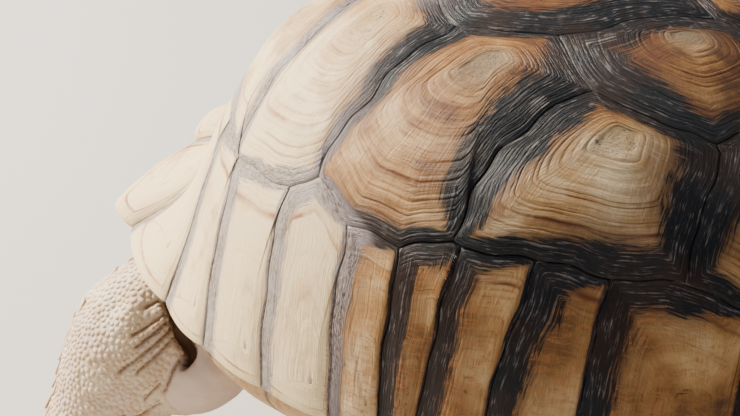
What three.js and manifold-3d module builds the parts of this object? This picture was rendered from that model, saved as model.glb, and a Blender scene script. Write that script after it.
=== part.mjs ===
// A life-size adult sulcata tortoise, standing still.
// Millimetres, +Z up. The head points along -Y, and the animal's left side is +X.

import * as THREE from "three";
import { mergeVertices } from "three/addons/utils/BufferGeometryUtils.js";
import Module from "manifold-3d";

const wasm = await Module();
wasm.setup();

// ---------------------------------------------------------------- driving dimensions

const SHELL_LENGTH = 600;
const SHELL_WIDTH = 472;
const DOME_HEIGHT = 264; // top of the dome above the belly plate
const GROUND_CLEARANCE = 120; // belly plate above the floor
const GAP = 0.35; // between nodes that touch

const RIM_HEIGHT = 29; // rim of the carapace above the belly plate, at the sides
const RIM_RISE_REAR = 12;
const RIM_RISE_FRONT = 10;
const FRONT_LIP_LIFT = 54; // the front rim curls up over the neck
const FRONT_FLARE = 0.31; // the rim flares into a wide lip in front, as shares of the radius
const REAR_FLARE = 0.12;
const NECK_NOTCH = 0.12; // the front rim is drawn in over the neck
const CORNER_PUSH = 0.074; // and the front corners stand out over the forelegs
const SHELL_THICKNESS = 14;

const PLAN_POWER = 1.96; // superellipse of the outline seen from above
const ARCH_POWER = 2.44; // superellipse of the dome: share of the radius
const DOME_POWER = 2.4; // superellipse of the dome: share of the height
const REAR_BROADENING = 0.02;
const LIP_POWER = 6; // how late towards the rim the front lip turns outwards

const GROOVE_DEPTH = 1.5; // seams between scutes
const PLASTRON_THICKNESS = 14;
const PLASTRON_TOP = PLASTRON_THICKNESS + GAP;

const SKIN_COLOUR = "#d9c3a4";
const SHELL_COLOUR = "#b98a58";
const BELLY_COLOUR = "#d8bb86";
const EYE_COLOUR = "#20150e";

// ---------------------------------------------------------------- small helpers

const DEGREE = Math.PI / 180;

function clamp(value, low, high) {
  return Math.min(high, Math.max(low, value));
}

function mix(from, to, share) {
  return from + (to - from) * share;
}

function smooth(start, end, value) {
  const share = clamp((value - start) / (end - start), 0, 1);
  return share * share * (3 - 2 * share);
}

function polar(angle, level) {
  return [level * Math.cos(angle * DEGREE), level * Math.sin(angle * DEGREE)];
}

function vector(x, y, z) {
  return new THREE.Vector3(x, y, z);
}

// Repeatable random numbers from 0 to 1.
function seededRandom(seed) {
  let state = seed;
  return () => {
    state = (state * 1664525 + 1013904223) % 4294967296;
    return state / 4294967296;
  };
}

// Collects triangles and shares the vertices that lie on the same spot.
class SolidBuilder {
  constructor() {
    this.positions = [];
    this.faces = [];
    this.known = new Map();
  }

  vertex(point) {
    const key = [point.x, point.y, point.z].map((value) => Math.round(value * 2000)).join(",");
    if (!this.known.has(key)) {
      this.known.set(key, this.positions.length / 3);
      this.positions.push(point.x, point.y, point.z);
    }
    return this.known.get(key);
  }

  triangle(a, b, c) {
    if (a !== b && b !== c && c !== a) {
      this.faces.push(a, b, c);
    }
  }

  // Joins two rows of vertex numbers; a closed row joins its end to its start. An inverted
  // strip has the same edges and faces the other way.
  strip(rowA, rowB, closed, inverted = false) {
    const last = closed ? rowA.length : rowA.length - 1;
    for (let i = 0; i < last; i += 1) {
      const j = (i + 1) % rowA.length;
      if (inverted) {
        this.triangle(rowA[j], rowA[i], rowB[i]);
        this.triangle(rowA[j], rowB[i], rowB[j]);
      } else {
        this.triangle(rowA[i], rowA[j], rowB[i]);
        this.triangle(rowB[i], rowA[j], rowB[j]);
      }
    }
  }

  fan(row, centre) {
    for (let i = 0; i < row.length; i += 1) {
      this.triangle(row[i], row[(i + 1) % row.length], centre);
    }
  }

  geometry() {
    const geometry = new THREE.BufferGeometry();
    geometry.setAttribute("position", new THREE.Float32BufferAttribute(this.positions, 3));
    geometry.setIndex(this.faces);
    return geometry;
  }
}

// ---------------------------------------------------------------- joining and cutting

function toManifold(geometry) {
  const bare = geometry.clone();
  bare.deleteAttribute("normal");
  bare.deleteAttribute("uv");
  const merged = mergeVertices(bare, 1e-4);
  const vertProperties = new Float32Array(merged.attributes.position.array);
  const triVerts = new Uint32Array(merged.index.array);
  return new wasm.Manifold(new wasm.Mesh({ numProp: 3, vertProperties, triVerts }));
}

function fromManifold(manifold) {
  const { vertProperties, triVerts } = manifold.getMesh();
  const geometry = new THREE.BufferGeometry();
  geometry.setAttribute("position", new THREE.Float32BufferAttribute(vertProperties, 3));
  geometry.setIndex(Array.from(triVerts));
  return geometry;
}

function join(solids) {
  return solids.reduce((whole, solid) => whole.add(solid));
}

function cut(solid, cutters) {
  return cutters.reduce((rest, cutter) => rest.subtract(cutter), solid);
}

function largestBody(solid) {
  const bodies = solid.decompose();
  return bodies.reduce((best, body) => (body.volume() > best.volume() ? body : best));
}

// ---------------------------------------------------------------- the dome

// Height of the rim above the belly plate; sine is -1 at the front and +1 at the rear.
function rimHeight(sine) {
  const front = Math.max(0, -sine) ** 2;
  const rear = Math.max(0, sine) ** 2;
  return RIM_HEIGHT + RIM_RISE_FRONT * front + RIM_RISE_REAR * rear;
}

// The front rim curls up, away from the fall of the dome.
function lipLift(sine, level) {
  return FRONT_LIP_LIFT * smooth(0.86, 1, -sine) * smooth(0.87, 1.02, level);
}

// A smooth hump over the rim's angle, in degrees.
function hump(angle, centre, width) {
  return Math.exp(-(((angle - centre) / width) ** 2));
}

// A spot on the dome from its place on a disc: [across, along], with 0, 0 at the top of the
// dome, a distance of 1 at the rim, across to the animal's left and along to its rear.
function domePoint([across, along]) {
  const level = Math.min(1, Math.hypot(across, along));
  const angle = Math.atan2(along, Math.abs(across));
  const sine = Math.sin(angle);
  const planY = Math.sign(sine) * Math.abs(sine) ** (2 / PLAN_POWER);
  const planX = Math.cos(angle) ** (2 / PLAN_POWER) * (1 + REAR_BROADENING * planY);
  const turn = (Math.PI / 2) * level;
  const frontFlare = FRONT_FLARE * Math.max(0, -sine) ** 2;
  const rearFlare = REAR_FLARE * Math.max(0, sine) ** 2;
  const outer = clamp((level - 0.6) / 0.4, 0, 1);
  const flared = 1 + frontFlare * outer ** LIP_POWER + rearFlare * outer ** 2;
  const degrees = angle / DEGREE;
  const corner = CORNER_PUSH * hump(degrees, -57.4, 12.7) - NECK_NOTCH * hump(degrees, -90, 32);
  const arch = Math.sin(turn) ** (2 / ARCH_POWER);
  const shaped = flared * (1 + corner * outer ** LIP_POWER);
  const reach = (arch * shaped) / (1 + frontFlare + rearFlare);
  const rim = rimHeight(sine);
  const rise = Math.max(0, Math.cos(turn)) ** (2 / DOME_POWER);
  const x = (SHELL_WIDTH / 2) * planX * reach * Math.sign(across || 1);
  const y = (SHELL_LENGTH / 2) * planY * reach;
  return vector(x, y, rim + (DOME_HEIGHT - rim) * rise + lipLift(sine, level));
}

function domeNormal([across, along]) {
  const step = 0.004;
  const level = Math.hypot(across, along);
  const pull = Math.min(1, (1 - 2 * step) / Math.max(level, step));
  const [u, v] = [across * pull, along * pull];
  const sideways = domePoint([u + step, v]).sub(domePoint([u - step, v]));
  const lengthways = domePoint([u, v + step]).sub(domePoint([u, v - step]));
  return sideways.cross(lengthways).normalize();
}

// ---------------------------------------------------------------- the scute network

// Seams of the left side, as places on the disc. The two sides differ a little, as they do
// on a real animal.
const LEFT_SEAMS = {
  frontTop: [0, -0.66],
  vertebral1Foot: polar(-66, 0.66),
  vertebral12: [0.135, -0.4],
  costal12Top: [0.205, -0.19],
  costal12Bend: [0.615, -0.27],
  vertebral23: [0.135, -0.105],
  costal23Top: [0.203, 0.008],
  vertebral3Bend: [0.191, 0.055],
  vertebral34: [0.146, 0.123],
  costal34Top: [0.226, 0.245],
  costal34Neck: [0.285, 0.219],
  costal34Bend: [0.525, 0.229],
  vertebral4Bend: [0.214, 0.32],
  vertebral45: [0.136, 0.449],
  vertebral5Neck: [0.147, 0.468],
  vertebral5Bend: [0.269, 0.526],
  costal23Foot: [0.625, -0.023],
  costal34Foot: [0.609, 0.254],
  vertebral5Foot: polar(58, 0.72),
};

const RIGHT_CHANGES = {
  costal23Top: [0.225, 0.04],
  vertebral3Bend: [0.19, 0.12],
  vertebral34: [0.139, 0.195],
  costal34Top: [0.22, 0.285],
  costal34Neck: [0.285, 0.25],
};

// The upper ends of the seams between the marginal scutes, as [angle, level], from the seam
// between the first two to the seam in front of the tail scute, and their lower ends' angles.
const MARGINAL_TOPS = [
  [-72, 0.66], [-50, 0.65], [-34, 0.67], [-21.4, 0.69], [-6.8, 0.67], [6.2, 0.68],
  [15, 0.7], [24, 0.67], [35, 0.68], [46, 0.7], [69, 0.79],
];
const MARGINAL_FEET = [-72.3, -53.9, -30.4, -17.2, -4, 8, 15.5, 20.5, 29, 40.5, 61];
const MARGINAL_COUNT = 11;
const RIM_STEPS = 4; // facets along one marginal's free edge
const TAIL_RIM_STEPS = 8;

// How far each marginal's free edge stands out and up between its notches. It stands out
// most towards its rear end.
const EDGE_SWELL = [11, 20, 9, 4, 3, 3, 3, 4, 6, 8, 9];
const EDGE_RISE = [4, 6, 4, 0, 0, 0, 0, 0, 0, 0, 0];
const SWELL_SHIFT = 1.6;
const TAIL_EDGE_SWELL = 6;

const SEAM_STEP = 0.075; // longest stretch of seam between two vertices, on the disc

function seamsOf(side) {
  const places = { ...LEFT_SEAMS, ...(side < 0 ? RIGHT_CHANGES : {}) };
  MARGINAL_TOPS.forEach(([angle, level], i) => {
    places[`marginalTop${i + 1}`] = polar(angle, level);
  });
  return Object.fromEntries(
    Object.entries(places).map(([name, [across, along]]) => [name, [side * across, along]]),
  );
}

// The line between costals and marginals, from the front to the tail scute.
const MARGINAL_LINE = [
  "frontTop", "marginalTop1", "vertebral1Foot", "marginalTop2", "marginalTop3", "marginalTop4",
  "marginalTop5", "costal23Foot", "marginalTop6", "marginalTop7", "costal34Foot",
  "marginalTop8", "marginalTop9", "marginalTop10", "vertebral5Foot", "marginalTop11",
];

function lineBetween(first, last) {
  return MARGINAL_LINE.slice(MARGINAL_LINE.indexOf(first), MARGINAL_LINE.indexOf(last) + 1);
}

// Seam corners, densified so that two scutes that share a seam share its vertices.
function seamRun(corners) {
  const run = [];
  for (let i = 0; i + 1 < corners.length; i += 1) {
    const [a, b] = [corners[i], corners[i + 1]];
    const steps = Math.max(1, Math.ceil(Math.hypot(b[0] - a[0], b[1] - a[1]) / SEAM_STEP));
    for (let k = 0; k < steps; k += 1) {
      const place = [mix(a[0], b[0], k / steps), mix(a[1], b[1], k / steps)];
      run.push({ place, swell: 0, rise: 0 });
    }
  }
  run.push({ place: corners[corners.length - 1], swell: 0, rise: 0 });
  return run;
}

// The free edge of one marginal, from one notch to the next, both notches included.
function rimRun(side, fromAngle, toAngle, steps, swell, rise = 0, shift = 1) {
  const run = [];
  for (let k = 0; k <= steps; k += 1) {
    const share = k / steps;
    const [across, along] = polar(mix(fromAngle, toAngle, share), 1);
    const notch = k === 0 || k === steps;
    const bulge = notch ? 0 : Math.sin(Math.PI * share ** shift) ** 0.6;
    const place = [side * across, along];
    run.push({ place, swell: swell * bulge, rise: rise * bulge, rim: !notch });
  }
  return run;
}

// Outlines of all scutes. Each runs counter-clockwise seen from above.
function scuteOutlines() {
  const scutes = [];
  const left = seamsOf(1);
  const right = seamsOf(-1);
  const pick = (names, seams) => names.map((name) => seams[name]);
  const addVertebral = (names, areola) => {
    const leftRun = seamRun(pick(names, left));
    const rightRun = seamRun(pick(names, right)).reverse();
    scutes.push({ kind: "vertebral", areola, outline: { leftRun, rightRun } });
  };
  addVertebral(["frontTop", "marginalTop1", "vertebral1Foot", "vertebral12"], [0, -0.52]);
  addVertebral(["vertebral12", "costal12Top", "vertebral23"], [0, -0.26]);
  addVertebral(["vertebral23", "costal23Top", "vertebral3Bend", "vertebral34"], [0.01, 0.05]);
  addVertebral(["vertebral34", "costal34Top", "vertebral4Bend", "vertebral45"], [-0.015, 0.235]);
  addVertebral(
    ["vertebral45", "vertebral5Neck", "vertebral5Bend", "vertebral5Foot", "marginalTop11"],
    [0, 0.53],
  );
  [1, -1].forEach((side) => {
    const seams = side > 0 ? left : right;
    const addCostal = (names, areola) => {
      const run = seamRun(pick([...names, names[0]], seams)).slice(0, -1);
      scutes.push({ kind: "costal", side, areola: [side * areola[0], areola[1]], ring: run });
    };
    const seam1 = ["costal12Top", "costal12Bend", "marginalTop4"];
    const seam2 = ["costal23Top", "costal23Foot"];
    const seam3 = ["costal34Top", "costal34Neck", "costal34Bend", "costal34Foot"];
    const seam4 = ["vertebral45", "vertebral5Neck", "vertebral5Bend", "vertebral5Foot"];
    const upward = (names) => [...names].reverse();
    addCostal(
      [...lineBetween("vertebral1Foot", "marginalTop4"), ...upward(seam1).slice(1), "vertebral12"],
      [0.29, -0.33],
    );
    addCostal(
      [...seam1, ...lineBetween("marginalTop4", "costal23Foot").slice(1),
        ...upward(seam2).slice(1), "vertebral23"],
      [0.26, -0.09],
    );
    addCostal(
      [...seam2, ...lineBetween("costal23Foot", "costal34Foot").slice(1),
        ...upward(seam3).slice(1), "vertebral34", "vertebral3Bend"],
      [0.26, 0.1],
    );
    addCostal(
      [...seam3, ...lineBetween("costal34Foot", "vertebral5Foot").slice(1),
        ...upward(seam4).slice(1), "vertebral4Bend"],
      [0.27, 0.335],
    );
    for (let i = 0; i < MARGINAL_COUNT; i += 1) {
      const frontAngle = i === 0 ? -90 : MARGINAL_FEET[i - 1];
      const rearAngle = MARGINAL_FEET[i];
      const topNames = lineBetween(i === 0 ? "frontTop" : `marginalTop${i}`, `marginalTop${i + 1}`);
      const [swell, rise] = [EDGE_SWELL[i], EDGE_RISE[i]];
      const edge = rimRun(side, frontAngle, rearAngle, RIM_STEPS, swell, rise, SWELL_SHIFT);
      const top = seamRun(pick(topNames, seams));
      const frontSeam = seamRun([top[0].place, edge[0].place]);
      const rearSeam = seamRun([top[top.length - 1].place, edge[edge.length - 1].place]);
      const run = [
        ...frontSeam.slice(0, -1), ...edge.slice(0, -1),
        ...[...rearSeam].reverse().slice(0, -1), ...[...top].reverse().slice(0, -1),
      ];
      const areola = [
        mix(edge[0].place[0], edge[RIM_STEPS].place[0], 0.66) * 0.93,
        mix(edge[0].place[1], edge[RIM_STEPS].place[1], 0.66) * 0.93,
      ];
      scutes.push({ kind: "marginal", side, areola, ring: run, edge });
    }
  });
  const rearAngle = MARGINAL_FEET[MARGINAL_COUNT - 1];
  const edge = rimRun(1, rearAngle, 180 - rearAngle, TAIL_RIM_STEPS, TAIL_EDGE_SWELL);
  const leftTop = left.marginalTop11;
  const rightTop = right.marginalTop11;
  const tailRing = [
    ...seamRun([leftTop, edge[0].place]).slice(0, -1),
    ...edge.slice(0, -1),
    ...seamRun([rightTop, edge[TAIL_RIM_STEPS].place]).reverse().slice(0, -1),
    ...seamRun([leftTop, rightTop]).reverse().slice(0, -1),
  ];
  scutes.push({ kind: "marginal", side: 1, areola: [0, 0.93], ring: tailRing, edge });
  return scutes;
}

// ---------------------------------------------------------------- carapace

// Lift of a scute's face over the seams, from its areola (share 0) to its outline (share 1).
const PLATE_RINGS = {
  vertebral: [[0.25, 8], [0.65, 6], [0.95, 3]],
  costal: [[0.25, 8], [0.65, 6], [0.95, 3]],
  marginal: [[0.35, 5], [0.9, 3]],
};
const AREOLA_LIFT = { vertebral: 7.5, costal: 7.5, marginal: 5 };
const EDGE_LIFT = 2;

// A vertebral's outline is its left and right runs, closed over the midline.
function closeVertebral({ leftRun, rightRun }) {
  const top = seamRun([rightRun[rightRun.length - 1].place, leftRun[0].place]).slice(1, -1);
  const foot = seamRun([rightRun[0].place, leftRun[leftRun.length - 1].place]).slice(1, -1);
  const run = [...leftRun, ...foot.reverse(), ...rightRun, ...top];
  const seen = new Set();
  return run.filter(({ place }) => {
    const key = place.map((value) => value.toFixed(5)).join(",");
    const fresh = !seen.has(key);
    seen.add(key);
    return fresh;
  });
}

// Where a marginal's face stands out towards its free edge, by the share from its areola.
function swollen(spot, { swell, rise }, share) {
  const outward = vector(spot.x, spot.y, 0).normalize();
  outward.multiplyScalar(swell).setZ(rise);
  return spot.addScaledVector(outward, share ** 3);
}

function edgePoint(sample) {
  const lift = sample.rim ? EDGE_LIFT : -GROOVE_DEPTH;
  const spot = domePoint(sample.place).addScaledVector(domeNormal(sample.place), lift);
  return swollen(spot, sample, 1);
}

function addScute(solid, scute) {
  const ring = scute.ring ?? closeVertebral(scute.outline);
  const run = scute.side < 0 ? [...ring].reverse() : ring;
  const centrePoint = domePoint(scute.areola);
  centrePoint.addScaledVector(domeNormal(scute.areola), AREOLA_LIFT[scute.kind]);
  const rows = PLATE_RINGS[scute.kind].map(([share, lift]) =>
    run.map((sample) => {
      const place = [
        mix(scute.areola[0], sample.place[0], share),
        mix(scute.areola[1], sample.place[1], share),
      ];
      const spot = domePoint(place).addScaledVector(domeNormal(place), lift);
      return solid.vertex(swollen(spot, sample, share));
    }),
  );
  rows.push(run.map((sample) => solid.vertex(edgePoint(sample))));
  solid.fan(rows[0], solid.vertex(centrePoint));
  for (let i = 0; i + 1 < rows.length; i += 1) {
    solid.strip(rows[i + 1], rows[i], true);
  }
}

// Where the bridge joins carapace and plastron, by the rim's angle: 1 inside, 0 outside.
const BRIDGE_FRONT = -17;
const BRIDGE_REAR = 24;

function bridgeShare(angle) {
  const front = smooth(BRIDGE_FRONT - 7, BRIDGE_FRONT, angle);
  return front * (1 - smooth(BRIDGE_REAR, BRIDGE_REAR + 7, angle));
}

function rimAngle([across, along]) {
  return Math.atan2(along, Math.abs(across)) / DEGREE;
}

// The underside of the rim, inwards from the free edge. In front and behind it follows the
// face above at a depth. Over the bridge it dips to meet the plastron, at shares of the rim's
// radius and heights over the rim's own.
const UNDERSIDE = [
  { level: 0.99, depth: 7, bridgeShare: 0.985, bridgeRise: -11 },
  { level: 0.95, depth: 9, bridgeShare: 0.945, bridgeRise: -22 },
  { level: 0.88, depth: 12, bridgeShare: 0.89, bridgeRise: 8 },
];
const VAULT_LEVELS = [0.7, 0.52, 0.32, 0.14];

function undersidePoint(place, row) {
  const rim = domePoint(place);
  const share = row.bridgeShare;
  const bridge = vector(rim.x * share, rim.y * share, rim.z + row.bridgeRise);
  return vaultPoint(place, row.level, row.depth).lerp(bridge, bridgeShare(rimAngle(place)));
}

// The inside of the vault, or with a larger depth the body that fills it.
function vaultPoint(place, level, depth) {
  const inner = [place[0] * level, place[1] * level];
  return domePoint(inner).addScaledVector(domeNormal(inner), -depth);
}

// Rim samples all the way round, counter-clockwise seen from above, starting at the front.
function rimLoop(scutes) {
  const edges = (side) =>
    scutes.filter((scute) => scute.edge && scute.side === side).map((scute) => scute.edge);
  const leftEdges = edges(1);
  const tailEdge = leftEdges.pop();
  const rightEdges = edges(-1).reverse().map((edge) => [...edge].reverse());
  return [...leftEdges, tailEdge, ...rightEdges].flatMap((edge) => edge.slice(0, -1));
}

function carapaceSolid(scutes) {
  const solid = new SolidBuilder();
  scutes.forEach((scute) => addScute(solid, scute));
  const loop = rimLoop(scutes);
  const rows = [loop.map((sample) => solid.vertex(edgePoint(sample)))];
  UNDERSIDE.forEach((row) => {
    rows.push(loop.map(({ place }) => solid.vertex(undersidePoint(place, row))));
  });
  VAULT_LEVELS.forEach((level) => {
    rows.push(loop.map(({ place }) => solid.vertex(vaultPoint(place, level, SHELL_THICKNESS))));
  });
  for (let i = 0; i + 1 < rows.length; i += 1) {
    solid.strip(rows[i + 1], rows[i], true);
  }
  const crown = solid.vertex(vector(0, 0, DOME_HEIGHT - SHELL_THICKNESS));
  const innermost = [...rows[rows.length - 1]].reverse();
  solid.fan(innermost, crown);
  return solid.geometry();
}

// ---------------------------------------------------------------- plastron

// Half outline of the belly plate ahead of and behind the bridge, as [x, y].
const PLASTRON_FRONT = [[0, -242], [26, -258], [56, -246], [92, -220], [126, -178], [150, -130]];
const PLASTRON_REAR = [[150, 150], [122, 190], [102, 226], [64, 256], [0, 224]];
const PLASTRON_SEAMS = [-236, -152, -116, 74, 168]; // where the cross seams meet the midline
const PLATE_RELIEF = 2;

function plastronUnder(x, y) {
  const wing = 7 * smooth(130, 215, Math.abs(x));
  const gular = 5 * smooth(190, 260, -y);
  const anal = 9 * smooth(180, 260, y);
  return wing + gular + anal;
}

// The outer edge of the bridge lies against the underside of the rim.
function bridgeEdge(place, height) {
  const low = undersidePoint(place, UNDERSIDE[1]);
  const high = undersidePoint(place, UNDERSIDE[2]);
  const spot = low.lerp(high, height);
  const inward = vector(spot.x, spot.y, 0).normalize();
  return spot.addScaledVector(inward, -2 * GAP);
}

function plastronSolid(loop) {
  const solid = new SolidBuilder();
  const bridge = loop.filter(({ place }) => {
    const angle = rimAngle(place);
    return place[0] > 0 && angle >= BRIDGE_FRONT && angle <= BRIDGE_REAR;
  });
  const bridgeFoot = bridge.map(({ place }) => bridgeEdge(place, 0.02));
  const bridgeHead = bridge.map(({ place }) => bridgeEdge(place, 0.5));
  const flat = (points) => points.map(([x, y]) => vector(x, y, plastronUnder(x, y)));
  const half = [...flat(PLASTRON_FRONT), ...bridgeFoot, ...flat(PLASTRON_REAR)];
  const raise = (points) => points.map(([x, y]) =>
    vector(x, y, plastronUnder(x, y) + PLASTRON_THICKNESS));
  const halfTop = [...raise(PLASTRON_FRONT), ...bridgeHead, ...raise(PLASTRON_REAR)];
  const frontCount = PLASTRON_FRONT.length;
  const last = half.length - 1;
  const middle = frontCount + Math.floor(bridge.length / 3);
  const seamEnds = [2, frontCount - 2, middle, last - 4, last - 2];
  const seamPoint = (index) => vector(0, PLASTRON_SEAMS[index],
    plastronUnder(0, PLASTRON_SEAMS[index]) + PLATE_RELIEF);
  const mirror = (point, side) => vector(side * point.x, point.y, point.z);
  const crossSeam = (index) => {
    const from = seamPoint(index);
    const to = half[seamEnds[index]];
    return [0, 0.25, 0.5, 0.75].map((share) => {
      const spot = from.clone().lerp(to, share);
      spot.z = plastronUnder(spot.x, spot.y) + PLATE_RELIEF * (1 - share ** 4);
      return spot;
    });
  };
  [1, -1].forEach((side) => {
    for (let plate = 0; plate <= seamEnds.length; plate += 1) {
      const start = plate === 0 ? 0 : seamEnds[plate - 1];
      const end = plate === seamEnds.length ? last : seamEnds[plate];
      const outer = half.slice(start, end + 1);
      const frontSeam = plate === 0 ? [] : crossSeam(plate - 1);
      const rearSeam = plate === seamEnds.length ? [] : crossSeam(plate).reverse();
      const ring = [...frontSeam, ...outer, ...rearSeam];
      const centre = ring.reduce((sum, spot) => sum.add(spot), vector(0, 0, 0));
      centre.divideScalar(ring.length);
      const face = ring.map((spot) => {
        const inner = spot.clone().lerp(centre, 0.12);
        inner.z = plastronUnder(inner.x, inner.y);
        return inner;
      });
      centre.z = plastronUnder(centre.x, centre.y);
      const place = (spot) => solid.vertex(mirror(spot, side));
      const rows = [ring.map(place), face.map(place)];
      const order = side > 0 ? (row) => [...row].reverse() : (row) => row;
      solid.strip(order(rows[0]), order(rows[1]), true);
      solid.fan(order(rows[1]), place(centre));
    }
    const low = half.map((spot) => solid.vertex(mirror(spot, side)));
    const high = halfTop.map((spot) => solid.vertex(mirror(spot, side)));
    const inner = halfTop.map((spot) => {
      const shrunk = mirror(spot, side).multiplyScalar(0.8);
      shrunk.z = PLASTRON_THICKNESS;
      return solid.vertex(shrunk);
    });
    const centre = solid.vertex(vector(0, 0, PLASTRON_THICKNESS));
    const facing = side > 0 ? (row) => row : (row) => [...row].reverse();
    solid.strip(facing(low), facing(high), false);
    solid.strip(facing(high), facing(inner), false);
    const spokes = facing(inner);
    for (let i = 0; i + 1 < spokes.length; i += 1) {
      solid.triangle(spokes[i], spokes[i + 1], centre);
    }
  });
  return solid.geometry();
}

// ---------------------------------------------------------------- torso

const TORSO_FLOOR_SHARE = 0.66; // of the rim's radius, where the skin meets the belly plate
const TORSO_WALL_SHARE = 0.5; // and how far up the lowest band of the vault it meets the shell
const TORSO_BRIDGE_SHARE = 0.83; // and beside the bridge, with its height over the rim's own
const TORSO_BRIDGE_RISE = 27;
const TORSO_INSET = 0.7;

// The skin-covered body inside the shell, closed above the belly plate. A growth makes the
// same body larger all round, to cut clearance from the legs, neck and tail.
function torsoSolid(loop, growth) {
  const solid = new SolidBuilder();
  const places = loop.map(({ place }) => place);
  const floorRow = places.map((place) => {
    const rim = domePoint(place);
    const share = TORSO_FLOOR_SHARE;
    return solid.vertex(vector(rim.x * share, rim.y * share, PLASTRON_TOP + 6 - growth));
  });
  const depth = SHELL_THICKNESS + TORSO_INSET - growth;
  const wallRow = places.map((place) => {
    const rim = domePoint(place);
    const bridge = vector(rim.x * TORSO_BRIDGE_SHARE, rim.y * TORSO_BRIDGE_SHARE, 0);
    bridge.addScaledVector(bridge.clone().normalize(), growth);
    bridge.z = rim.z + TORSO_BRIDGE_RISE - growth;
    const lip = UNDERSIDE[UNDERSIDE.length - 1];
    const wall = vaultPoint(place, lip.level, lip.depth + TORSO_INSET - growth);
    wall.lerp(vaultPoint(place, VAULT_LEVELS[0], depth), TORSO_WALL_SHARE);
    return solid.vertex(wall.lerp(bridge, bridgeShare(rimAngle(place))));
  });
  const vaultRows = VAULT_LEVELS.map((level) =>
    places.map((place) => solid.vertex(vaultPoint(place, level, depth))),
  );
  const rows = [floorRow, wallRow, ...vaultRows];
  for (let i = 0; i + 1 < rows.length; i += 1) {
    solid.strip(rows[i + 1], rows[i], true, true);
  }
  solid.fan(rows[rows.length - 1], solid.vertex(vector(0, 0, DOME_HEIGHT - depth)));
  const floor = solid.vertex(vector(0, 0, PLASTRON_TOP + TORSO_INSET - growth));
  solid.fan([...floorRow].reverse(), floor);
  return solid.geometry();
}

// ---------------------------------------------------------------- limbs

// A limb is a stack of oval sections along a path. Each section has its centre, its half
// widths towards "side" and across it, and the path's direction there.
function loft(sections, columns, sideways) {
  const solid = new SolidBuilder();
  const rows = sections.map((section, i) => {
    const before = sections[Math.max(0, i - 1)].centre;
    const after = sections[Math.min(sections.length - 1, i + 1)].centre;
    const along = section.along ?? after.clone().sub(before);
    const axis = along.clone().normalize();
    const side = sideways.clone().addScaledVector(axis, -sideways.dot(axis)).normalize();
    const across = axis.clone().cross(side);
    const row = [];
    for (let k = 0; k < columns; k += 1) {
      const angle = (k / columns) * 2 * Math.PI;
      const power = 2 / (section.power ?? 2);
      const cosine = Math.cos(angle);
      const sine = Math.sin(angle);
      const u = Math.sign(cosine) * Math.abs(cosine) ** power * section.wide;
      const v = Math.sign(sine) * Math.abs(sine) ** power * section.deep;
      const spot = section.centre.clone().addScaledVector(side, u).addScaledVector(across, v);
      row.push(solid.vertex(spot));
    }
    return row;
  });
  for (let i = 0; i + 1 < rows.length; i += 1) {
    solid.strip(rows[i], rows[i + 1], true);
  }
  solid.fan([...rows[0]].reverse(), solid.vertex(sections[0].centre));
  solid.fan(rows[rows.length - 1], solid.vertex(sections[sections.length - 1].centre));
  return solid.geometry();
}

// A pointed scale, spur or claw: an oval root sunk in the skin, swelling and then tapering
// to its tip. The belly is how far along it stays at its full girth.
function spike({ root, tip, wide, thick, flatways, sides, sink, bluntness, belly = 0.25 }) {
  const axis = tip.clone().sub(root);
  const length = axis.length();
  axis.normalize();
  const stations = [
    { along: -sink, girth: 0.75 }, { along: belly * length, girth: 1 },
    { along: length, girth: bluntness },
  ];
  const sections = stations.map(({ along, girth }) => ({
    centre: root.clone().addScaledVector(axis, along),
    along: axis,
    wide: wide * girth,
    deep: thick * girth,
  }));
  return toManifold(loft(sections, sides, flatways));
}

function section(x, y, z, wide, deep, power = 2) {
  return { centre: vector(x, y, z), wide, deep, power };
}

// Left foreleg, heights over the floor: shoulder, elbow, forearm and column foot.
const FORELEG = [
  section(96, -136, 182, 40, 42),
  section(128, -164, 156, 46, 50),
  section(153, -181, 125, 47, 48),
  section(180, -197, 98, 48, 52),
  section(193, -204, 72, 44, 47),
  section(200, -209, 46, 40, 43),
  section(204, -214, 22, 43, 46),
  section(205, -217, 6, 44, 47),
  section(205, -217, 0, 40, 43),
];

// Left hind leg: hip, knee, shank and column foot.
const HINDLEG = [
  section(92, 132, 190, 48, 50),
  section(126, 168, 166, 52, 56),
  section(154, 192, 132, 51, 54),
  section(168, 204, 96, 45, 47),
  section(173, 210, 60, 40, 42),
  section(175, 213, 28, 41, 42),
  section(176, 215, 6, 41, 42),
  section(176, 215, 0, 38, 39),
];

const LIMB_COLUMNS = 18;

function legShape(sections) {
  const lowest = sections.length - 1;
  const path = sections.map((item, i) => (i >= lowest - 1 ? { ...item, along: vector(0, 0, -1) } : item));
  return toManifold(loft(path, LIMB_COLUMNS, vector(1, 0, 0)));
}

// A spot on a leg's skin at a height over the floor, towards a compass bearing: 0 is to the
// front (-Y) and 90 to the animal's left (+X).
function legSkin(sections, height, bearing) {
  const index = sections.findIndex((item) => item.centre.z <= height);
  const lower = sections[Math.max(1, index)];
  const upper = sections[Math.max(1, index) - 1];
  const share = clamp((height - lower.centre.z) / (upper.centre.z - lower.centre.z), 0, 1);
  const outward = vector(Math.sin(bearing * DEGREE), -Math.cos(bearing * DEGREE), 0);
  const centre = lower.centre.clone().lerp(upper.centre, share);
  const wide = mix(lower.wide, upper.wide, share);
  const deep = mix(lower.deep, upper.deep, share);
  const radius = 1 / Math.hypot(outward.x / wide, outward.y / deep);
  return { spot: centre.addScaledVector(outward, radius), outward };
}

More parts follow.
